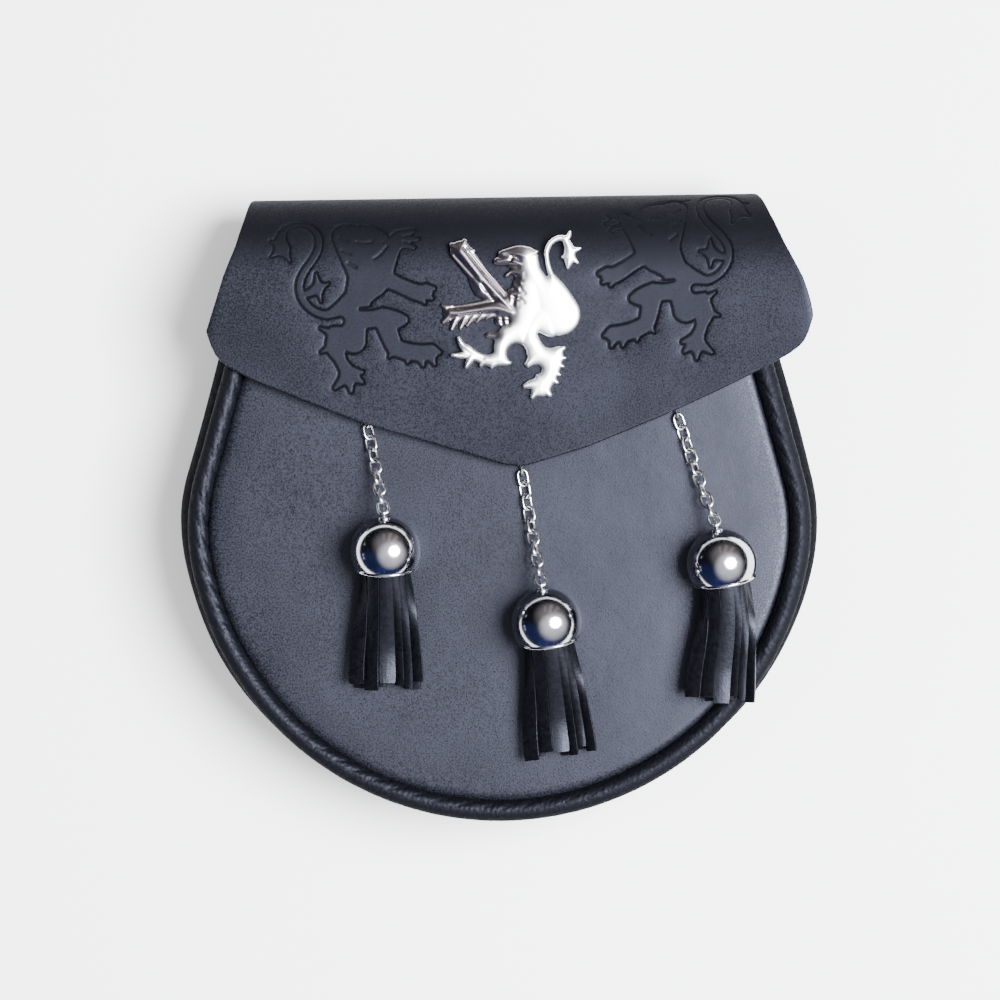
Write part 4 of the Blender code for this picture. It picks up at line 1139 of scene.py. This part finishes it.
def strap_loop(name, node, x):
    """A strap loop: a strip extruded along its course, bent, thickened and softened at its edges."""
    let_go()
    start_y, start_z = LOOP_SECTION[0]
    bpy.ops.mesh.primitive_plane_add(size=LOOP_WIDTH, location=(x, start_y * MM, start_z * MM))
    loop = named(name)
    settle(loop)
    start_edit(loop, "EDGE")
    choose(loop, "EDGE", lambda edge: all(vert.co.y > start_y * MM for vert in edge.verts))
    bpy.ops.mesh.delete(type="VERT")
    choose_all()
    move(y=LOOP_WIDTH / 2)
    last_y, last_z = start_y, start_z
    for y, z in LOOP_SECTION[1:]:
        step = (0.0, (y - last_y) * MM, (z - last_z) * MM)
        bpy.ops.mesh.extrude_edges_move(TRANSFORM_OT_translate={"value": step})
        last_y, last_z = y, z
    choose(loop, "EDGE", lambda edge: len(edge.link_faces) == 2)
    bpy.ops.mesh.bevel(offset=2.2 * MM, segments=6, affect="EDGES")
    choose_all()
    bpy.ops.mesh.subdivide(number_cuts=3)
    let_go()
    finish_with(loop, "SOLIDIFY", thickness=LOOP_THICKNESS, offset=0.0, material_offset_rim=1)
    dress(loop, PANEL, FLAP_EDGE)
    soften_corners(loop, 0.4 * MM, 3)
    smooth(loop, 50.0)
    hand_over(loop, "panel_leather", node)
    face = start_z * MM - LOOP_THICKNESS / 2
    for end, y in LOOP_SEAMS:
        spots = []
        for offset in LOOP_ROWS:
            spots += [Vector((x + i * LOOP_STITCH_STEP, y + offset, face)) for i in range(-2, 3)]
        stitch_row(f"{name}_stitches_{end}", spots)


def tail_stitches():
    """Two rows of stitches that hold the flap's tail to the back."""
    face = FLAP_BACK_Z - FLAP_THICKNESS / 2
    spots = []
    for y in TAIL_ROWS:
        spots += [Vector((i * TAIL_STITCH_STEP, y, face)) for i in range(-15, 16)]
    stitch_row("tail_stitches", spots)


def snap_stud():
    """The snap that holds the flap shut: a socket with a stepped cap."""
    low = float(front_height(0.0, STUD_Y)) + GAP
    high = FLAP_FRONT_Z - FLAP_THICKNESS / 2 - GAP
    let_go()
    bpy.ops.mesh.primitive_cylinder_add(
        vertices=48, radius=STUD_RADIUS, depth=high - low, location=(0.0, STUD_Y, (low + high) / 2)
    )
    stud = named("snap_fastener")
    settle(stud)
    start_edit(stud)
    for side in (1.0, -1.0):
        choose(stud, "FACE", lambda face: face.normal.z * side > 0.9)
        for inset, rise in STUD_STEPS:
            bpy.ops.mesh.inset(thickness=inset)
            move(z=rise * side)
    choose(stud, "EDGE", lambda edge: edge.calc_face_angle(0.0) > 0.9)
    bpy.ops.mesh.bevel(offset=0.15 * MM, segments=2, affect="EDGES")
    let_go()
    smooth(stud, 40.0)
    dress(stud, STEEL)
    hand_over(stud, "steel", "snap_stud")


# --- the drops -----------------------------------------------------------------------------------


def main_axes(node):
    """The middle of a plain solid, and its long, wide and flat directions."""
    spots = points_of(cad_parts[node])
    middle = spots.mean(axis=0)
    _, _, axes = np.linalg.svd(spots - middle, full_matrices=False)
    if np.dot(np.cross(axes[0], axes[1]), axes[2]) < 0.0:
        axes[2] = -axes[2]
    return Vector(middle), Matrix(axes.tolist()).transposed().to_4x4()


def chain_links():
    """One link, pulled from a ring into an oval, and copied to every place of the chains."""
    let_go()
    ring = (LINK_WIDTH - WIRE) / 2
    bpy.ops.mesh.primitive_torus_add(
        major_segments=36, minor_segments=12, major_radius=ring, minor_radius=WIRE / 2
    )
    model = named("chain_link")
    start_edit(model)
    for side in (1.0, -1.0):
        choose(model, "VERT", lambda vert: vert.co.x * side > 0.02 * MM)
        move(x=side * (LINK_LENGTH - LINK_WIDTH) / 2)
    let_go()
    smooth(model, 60.0)
    dress(model, CHAIN_METAL)
    for node in sorted(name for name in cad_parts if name.startswith("link_")):
        middle, turn = main_axes(node)
        link = copied(model, f"chain_{node}", Matrix.Translation(middle) @ turn)
        hand_over(link, "chrome", node)
    discard(model)


def chain_posts():
    """The staples under the flap's edge keep their solids, with the metal's finish."""
    for side, *_ in DROPS:
        dress(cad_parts[f"chain_post_{side}"], STEEL)


def bell_place(mouth, lean, tilt):
    """Where a bell lies: its mouth's middle, its turn on the front and how far its mouth looks up."""
    turn = Matrix.Rotation(math.radians(lean), 4, "Z")
    return Matrix.Translation(mouth) @ turn @ Matrix.Rotation(math.radians(tilt - 90.0), 4, "X")


def bell_dome():
    """A ball cut off at its mouth, with a rolled rim and a thin wall."""
    let_go()
    bpy.ops.mesh.primitive_uv_sphere_add(segments=96, ring_count=64, radius=BELL_RADIUS)
    dome = named("bell")
    start_edit(dome)
    choose_all()
    move(z=BELL_BELLY)
    radius, height = BELL_RIM[0]
    mouth = (0.0, 0.0, height * MM)
    bpy.ops.mesh.bisect(plane_co=mouth, plane_no=(0.0, 0.0, 1.0), clear_inner=True)
    choose(dome, "VERT", lambda vert: vert.co.z > BELL_BELLY)
    resize(1.0, 1.0, (BELL_HEIGHT - BELL_BELLY) / BELL_RADIUS, (0.0, 0.0, BELL_BELLY))
    choose(dome, "EDGE", lambda edge: edge.is_boundary)
    for next_radius, next_height in BELL_RIM[1:]:
        step = (0.0, 0.0, (next_height - height) * MM)
        bpy.ops.mesh.extrude_edges_move(TRANSFORM_OT_translate={"value": step})
        resize(next_radius / radius, next_radius / radius, 1.0, (0.0, 0.0, 0.0))
        radius, height = next_radius, next_height
    let_go()
    finish_with(dome, "SOLIDIFY", thickness=BELL_WALL, offset=-1.0)
    return dome


def wire_ring(name, radius, wire_radius, facets, rise, turn):
    """A ring of wire on the bell's axis, at a height over its top."""
    let_go()
    bpy.ops.mesh.primitive_torus_add(
        major_segments=40,
        minor_segments=facets,
        major_radius=radius,
        minor_radius=wire_radius,
        location=(0.0, 0.0, BELL_HEIGHT + rise),
        rotation=(0.0, turn, 0.0),
    )
    ring = named(name)
    settle(ring)
    return ring


def bell_model():
    """The bell with its collar and a small upright ring on top."""
    dome = bell_dome()
    collar = wire_ring("bell_collar", COLLAR_RADIUS, COLLAR_WIRE_RADIUS, 14, COLLAR_RISE, 0.0)
    eye = wire_ring("bell_eye", EYE_RADIUS, EYE_WIRE_RADIUS, 12, EYE_RISE, math.pi / 2)
    bell = joined("bell", [dome, collar, eye])
    smooth(bell, 50.0)
    dress(bell, CHROME)
    return bell


def strip(name, route, wides, full):
    """One cut strip of leather along its course, with soft corners at its free end."""
    steps = len(route) - 1

    def place(across, along):
        row = np.clip(np.round(along * steps).astype(int), 0, steps)
        spots = np.array(route)[row]
        wide = np.array(wides)[row]
        remaining = (1.0 - along) * steps
        corner = np.sqrt(np.clip(remaining / 1.2, 0.0, 1.0))
        width = full * (0.88 + 0.12 * corner) * (STRIP_GATHER + (1.0 - STRIP_GATHER) * along)
        side = across - 0.5
        rise = np.cross(np.gradient(np.array(route), axis=0), np.array(wides))[row]
        rise = rise / np.linalg.norm(rise, axis=1, keepdims=True)
        rise = rise * np.where(rise[:, 2:3] < 0.0, -1.0, 1.0)
        cup = STRIP_CUP * (0.25 - side * side) * 4.0
        moved = spots + wide * (side * width)[:, None] + rise * cup[:, None]
        return moved[:, 0], moved[:, 1], moved[:, 2]

    cut = lay_grid(name, 6, steps, place)
    finish_with(cut, "SOLIDIFY", thickness=STRIP_THICKNESS, offset=0.0, material_offset_rim=1)
    dress(cut, TASSEL, STRIP_EDGE)
    soften_corners(cut, 0.07 * MM, 1)
    return cut


def curve_through(ends, share):
    """A place on the smooth curve between two ends and their two guide points, and its direction."""
    a, b, c, d = ends
    left = 1.0 - share
    spot = a * left**3 + b * 3 * left**2 * share + c * 3 * left * share**2 + d * share**3
    along = (b - a) * 3 * left**2 + (c - b) * 6 * left * share + (d - c) * 3 * share**2
    return spot, along.normalized()


def tassel_head(side, place):
    """The rolled leather that fills the bell's mouth, and holds the strips."""
    let_go()
    bpy.ops.mesh.primitive_cone_add(
        vertices=48, radius1=HEAD_RADII[0], radius2=HEAD_RADII[1], depth=HEAD_TO - HEAD_FROM
    )
    head = named(f"tassel_head_{side}")
    start_edit(head)
    choose(head, "FACE", lambda face: face.normal.z < -0.9)
    bpy.ops.mesh.inset(thickness=1.2 * MM)
    move(z=0.8 * MM)
    let_go()
    head.data.transform(place @ Matrix.Translation((0.0, 0.0, (HEAD_FROM + HEAD_TO) / 2)))
    dress(head, TASSEL, STRIP_EDGE)
    return head


def strip_course(ends, tangent, flat, number):
    """The middle of a strip and its direction across, row by row from the head to the free end."""
    route, wides = [], []
    for row in range(STRIP_ROWS + 1):
        share = row / STRIP_ROWS
        spot, along = curve_through(ends, share)
        wave = 0.35 * MM * math.sin(share * 5.0 + number * 1.3) * share
        wide = tangent.lerp(flat, min(1.0, share * 1.6))
        route.append(spot + Vector((0.0, 0.0, abs(wave))))
        wides.append((wide - along * along.dot(wide)).normalized())
    return route, wides


def tassel(side, place, end, spread):
    """A ring of leather strips that falls from the head in the bell and flattens into two layers."""
    turned = place.to_3x3()
    axis = turned @ Vector((0.0, 0.0, 1.0))
    run = (end - place.translation).to_2d()
    away = Vector((run.x, run.y, 0.0)).normalized()
    aside = Vector((-away.y, away.x, 0.0))
    flip = -1.0 if (turned @ Vector((1.0, 0.0, 0.0))).dot(aside) < 0.0 else 1.0
    pieces = [tassel_head(side, place)]
    for number, (share_across, width, roll) in enumerate(UPPER_STRIPS + LOWER_STRIPS):
        upper = number < len(UPPER_STRIPS)
        uneven = math.sin(2.3 * number + 0.7 + 40.0 * end.x)
        ring_x = max(-0.95, min(0.95, 2.0 * share_across)) * flip
        ring_y = math.sqrt(1.0 - ring_x * ring_x) * (-1.0 if upper else 1.0)
        start = place @ Vector((ring_x * STRIP_RING, ring_y * STRIP_RING, STRIP_START))
        tangent = turned @ Vector((-ring_y, ring_x, 0.0))
        tangent = tangent if aside.dot(tangent) > 0 else -tangent
        rise = LAYER_STEP + STRIP_STEP * (len(UPPER_STRIPS) - number) if upper else 0.0
        finish = Vector((end.x, end.y, end.z + rise)) + aside * share_across * spread * MM
        finish = finish + away * uneven * 1.3 * MM
        flat = (aside + Vector((0.0, 0.0, math.tan(math.radians(roll + 3.0 * uneven))))).normalized()
        length = (finish - start).length
        ends = (start, start - axis * length * 0.42, finish - away * length * 0.36, finish)
        route, wides = strip_course(ends, tangent, flat, number)
        pieces.append(strip(f"strip_{side}_{number}", route, wides, width * MM))
    whole = joined(f"leather_tassel_{side}", pieces)
    smooth(whole, 40.0)
    hand_over(whole, "tassel_leather", f"tassel_{side}")


def drops():
    """The three bells with their tassels. A bell rests on the front with its widest ring."""
    model = bell_model()
    for side, x, y, lean, tilt, end_x, end_y, spread, rest in DROPS:
        rise = BELL_RADIUS - BELL_BELLY * math.sin(math.radians(tilt))
        mouth = Vector((x * MM, y * MM, float(front_height(x * MM, y * MM)) + GAP + rise))
        place = bell_place(mouth, lean, tilt)
        bell = copied(model, f"chrome_bell_{side}", place)
        hand_over(bell, "chrome", f"bell_{side}")
        end_z = float(front_height(end_x * MM, end_y * MM)) + rest * MM
        tassel(side, place, Vector((end_x * MM, end_y * MM, end_z)), spread)
    discard(model)


# --- the badge -----------------------------------------------------------------------------------


def cast_shares(x, y):
    """Distance in mm to the badge's body and to its forelegs and head, both below 0 inside."""
    body = figure_distance(x, y, CAST_BODY + CAST_TAIL, CAST_CUTS, 0.4)
    return body, figure_distance(x, y, CAST_FORE, (), 0.25)


def cast_outline(x, y):
    return figure_distance(x, y, CAST_BODY + CAST_TAIL + CAST_FORE, CAST_CUTS, 0.15)


def cast_plate():
    """A flat plate cut to the lion's outline, with finer faces along it."""
    let_go()
    bpy.ops.mesh.primitive_grid_add(x_subdivisions=150, y_subdivisions=170, size=1.0)
    plate = named("lion_casting")
    put_points(plate, points_of(plate) * (*CAST_SIZE, 1.0))
    start_edit(plate)
    for reach in CAST_REACHES:
        x, y, _ = face_middles(plate).T / MM
        select_faces(plate, np.abs(cast_outline(x, y)) < reach)
        bpy.ops.mesh.subdivide(number_cuts=1)
    x, y, _ = face_middles(plate).T / MM
    select_faces(plate, cast_outline(x, y) > 0.0)
    bpy.ops.mesh.delete(type="FACE")
    let_go()
    finish_with(plate, "SMOOTH", factor=0.5, iterations=6)
    return plate


def cast_height(x, y):
    """The casting's height in mm: a swelling body, ridged forelegs, chased lines and a rounded rim."""
    inside = np.maximum(0.0, -cast_outline(x, y))
    body, fore = cast_shares(x, y)
    share = 1.0 / (1.0 + np.exp((fore - body) * 1.6))
    swell = 1.3 + 1.1 * (1.0 - np.exp(-np.maximum(0.0, -body) / 1.2)) - 0.055 * (x - 8.0) + 0.012 * y
    ridge = 1.0 + 1.5 * np.minimum(1.0, np.maximum(0.0, -fore) / 3.0) + 0.03 * (x + y * 0.4)
    height = swell * (1.0 - share) + ridge * share
    for *line, depth in CAST_LINES:
        height = height - depth * np.exp(-(line_distance(x, y, [line]) / 0.45) ** 2)
    rounded = np.sqrt(np.clip(1.0 - (1.0 - np.clip(inside / 0.5, 0.0, 1.0)) ** 2, 0.0, 1.0))
    return np.clip(height, 0.5, BADGE_HEIGHT / MM) * (0.35 + 0.65 * rounded)


def lion_badge():
    """The cast lion: a plate cut to the outline, with its relief raised and a wall down to a flat back."""
    badge = cast_plate()
    x, y, _ = points_of(badge).T / MM
    put_points(badge, np.column_stack([x, y, cast_height(x, y)]) * MM)
    finish_with(badge, "SMOOTH", factor=0.4, iterations=3)
    start_edit(badge, "EDGE")
    choose(badge, "EDGE", lambda edge: edge.is_boundary)
    bpy.ops.mesh.extrude_edges_move(TRANSFORM_OT_translate={"value": (0.0, 0.0, -CAST_WALL)})
    bpy.ops.mesh.extrude_edges_move()
    resize(1.0, 1.0, 0.0, (0.0, 0.0, 0.0))
    bpy.ops.mesh.edge_face_add()
    face_outwards()
    x, y, _ = points_of(badge).T / MM
    body, fore = cast_shares(x, y)
    # share of the painted highlight: 1 on the body, 0 on the head and the forelegs, which get painted shade
    mark(badge, "painted_light_share", 1.0 / (1.0 + np.exp((body - fore) * 2.5)))
    badge_z = FLAP_FRONT_Z + FLAP_THICKNESS / 2 + GAP
    badge.data.transform(Matrix.Translation((BADGE_X, BADGE_Y, badge_z)))
    smooth(badge, 60.0)
    dress(badge, CAST_METAL)
    hand_over(badge, "chrome", "lion_badge")


# --- the studio ----------------------------------------------------------------------------------

ROOM = (  # toward x, y, z, reach in degrees, colour and strength
    ((0.0, 0.0, 1.0), 180.0, (0.012, 0.014, 0.020)),
    ((0.40, -0.20, 0.88), 60.0, (1.35, 1.35, 1.37)),
    ((0.20, 0.42, 0.88), 64.0, (0.30, 0.27, 0.26)),
    ((0.15, -1.0, 0.22), 42.0, (0.012, 0.022, 0.130)),
    ((-0.62, -0.62, 0.35), 58.0, (0.010, 0.018, 0.095)),
)
PANES = (  # lit panes: place x, y, z, width and height in metres, power in watts, colour
    (-1.42, 0.50, 0.42, 0.16, 0.10, 0.05, (0.75, 0.80, 1.0)),
    (-1.44, -0.26, 0.36, 0.17, 0.15, 0.08, (0.75, 0.80, 1.0)),
    (-1.44, -0.50, 0.36, 0.17, 0.15, 0.08, (0.75, 0.80, 1.0)),
    (0.30, 1.14, 0.95, 0.24, 0.85, 0.15, (1.0, 0.78, 0.66)),
    (0.72, 1.02, 0.85, 0.24, 0.70, 0.13, (1.0, 0.66, 0.48)),
    (-0.12, 1.14, 1.00, 0.16, 0.65, 0.06, (0.9, 0.82, 0.80)),
)


def soft_box(name, place, toward, width, height, power, colour=(1.0, 1.0, 1.0), shape="ELLIPSE"):
    let_go()
    bpy.ops.object.light_add(type="AREA", location=place)
    lamp = bpy.context.active_object
    lamp.name = name
    lamp.data.shape = shape
    lamp.data.size = width
    lamp.data.size_y = height
    lamp.data.energy = power
    lamp.data.color = colour
    lamp.rotation_euler = (Vector(toward) - Vector(place)).to_track_quat("-Z", "Y").to_euler()


def room_light(nodes, links, toward, reach, colour):
    """One soft patch of light in the dim room round the pouch, and the socket of its colour."""
    place = nodes.new("ShaderNodeTexCoord")
    facing = nodes.new("ShaderNodeVectorMath")
    facing.operation = "DOT_PRODUCT"
    facing.inputs[1].default_value = Vector(toward).normalized()
    links.new(place.outputs["Generated"], facing.inputs[0])
    fade = nodes.new("ShaderNodeMapRange")
    fade.interpolation_type = "SMOOTHERSTEP"
    fade.inputs["From Min"].default_value = math.cos(math.radians(reach))
    links.new(facing.outputs["Value"], fade.inputs["Value"])
    tint = nodes.new("ShaderNodeMix")
    tint.data_type = "RGBA"
    tint.inputs[6].default_value = (0.0, 0.0, 0.0, 1.0)
    tint.inputs[7].default_value = (*colour, 1.0)
    links.new(fade.outputs["Result"], tint.inputs["Factor"])
    return tint.outputs[2]


def dim_room():
    """The room that the metal mirrors: a silver light overhead, blue at the left, warm at the top."""
    world = bpy.data.worlds.new("dim_room")
    world.use_nodes = True
    nodes, links = world.node_tree.nodes, world.node_tree.links
    total = None
    for toward, reach, colour in ROOM:
        patch = room_light(nodes, links, toward, reach, colour)
        if total is None:
            total = patch
            continue
        both = nodes.new("ShaderNodeVectorMath")
        links.new(total, both.inputs[0])
        links.new(patch, both.inputs[1])
        total = both.outputs["Vector"]
    links.new(total, nodes["Background"].inputs["Color"])
    nodes["Background"].inputs["Strength"].default_value = 1.0
    bpy.context.scene.world = world


def studio():
    let_go()
    bpy.ops.mesh.primitive_plane_add(size=5.0)
    floor = named("pale_floor")
    dress(floor, floor_finish())
    aim = (0.0, 0.0, 0.04)
    soft_box("key_light", (0.70, 0.02, 1.30), aim, 0.9, 0.9, 140.0, (0.95, 0.97, 1.0))
    soft_box("fill_light", (-1.3, -0.2, 1.4), aim, 1.2, 1.2, 30.0)
    bpy.data.objects["fill_light"].visible_glossy = False
    for number, (x, y, z, width, height, power, colour) in enumerate(PANES):
        soft_box(f"lit_pane_{number}", (x, y, z), aim, width, height, power, colour, "RECTANGLE")
    dim_room()


def photo_camera():
    """Straight above the pouch: 315.5 mm fill the picture at the height of the front panel."""
    distance, seen, sensor = 1.5, 0.3155, 36.0
    let_go()
    bpy.ops.object.camera_add(location=(0.00016, 0.0019, 0.039 + distance), rotation=(0.0, 0.0, 0.0))
    camera = bpy.context.active_object
    camera.name = "photo_camera"
    camera.data.sensor_width = sensor
    camera.data.lens = sensor * distance / seen
    bpy.context.scene.camera = camera


photo_camera()
studio()
front_panel()
back_panel()
gusset()
piping("front_piping_leather", "front_piping", FRONT_Z - FRONT_THICKNESS + PIPING_RADIUS, 0.4)
piping("back_piping_leather", "back_piping", PIPING_RADIUS, 5.1)
flap()
for loop_side, loop_x in (("left", -LOOP_X), ("right", LOOP_X)):
    strap_loop(f"strap_loop_{loop_side}_leather", f"strap_loop_{loop_side}", loop_x)
tail_stitches()
snap_stud()
chain_links()
chain_posts()
drops()
lion_badge()
let_go()
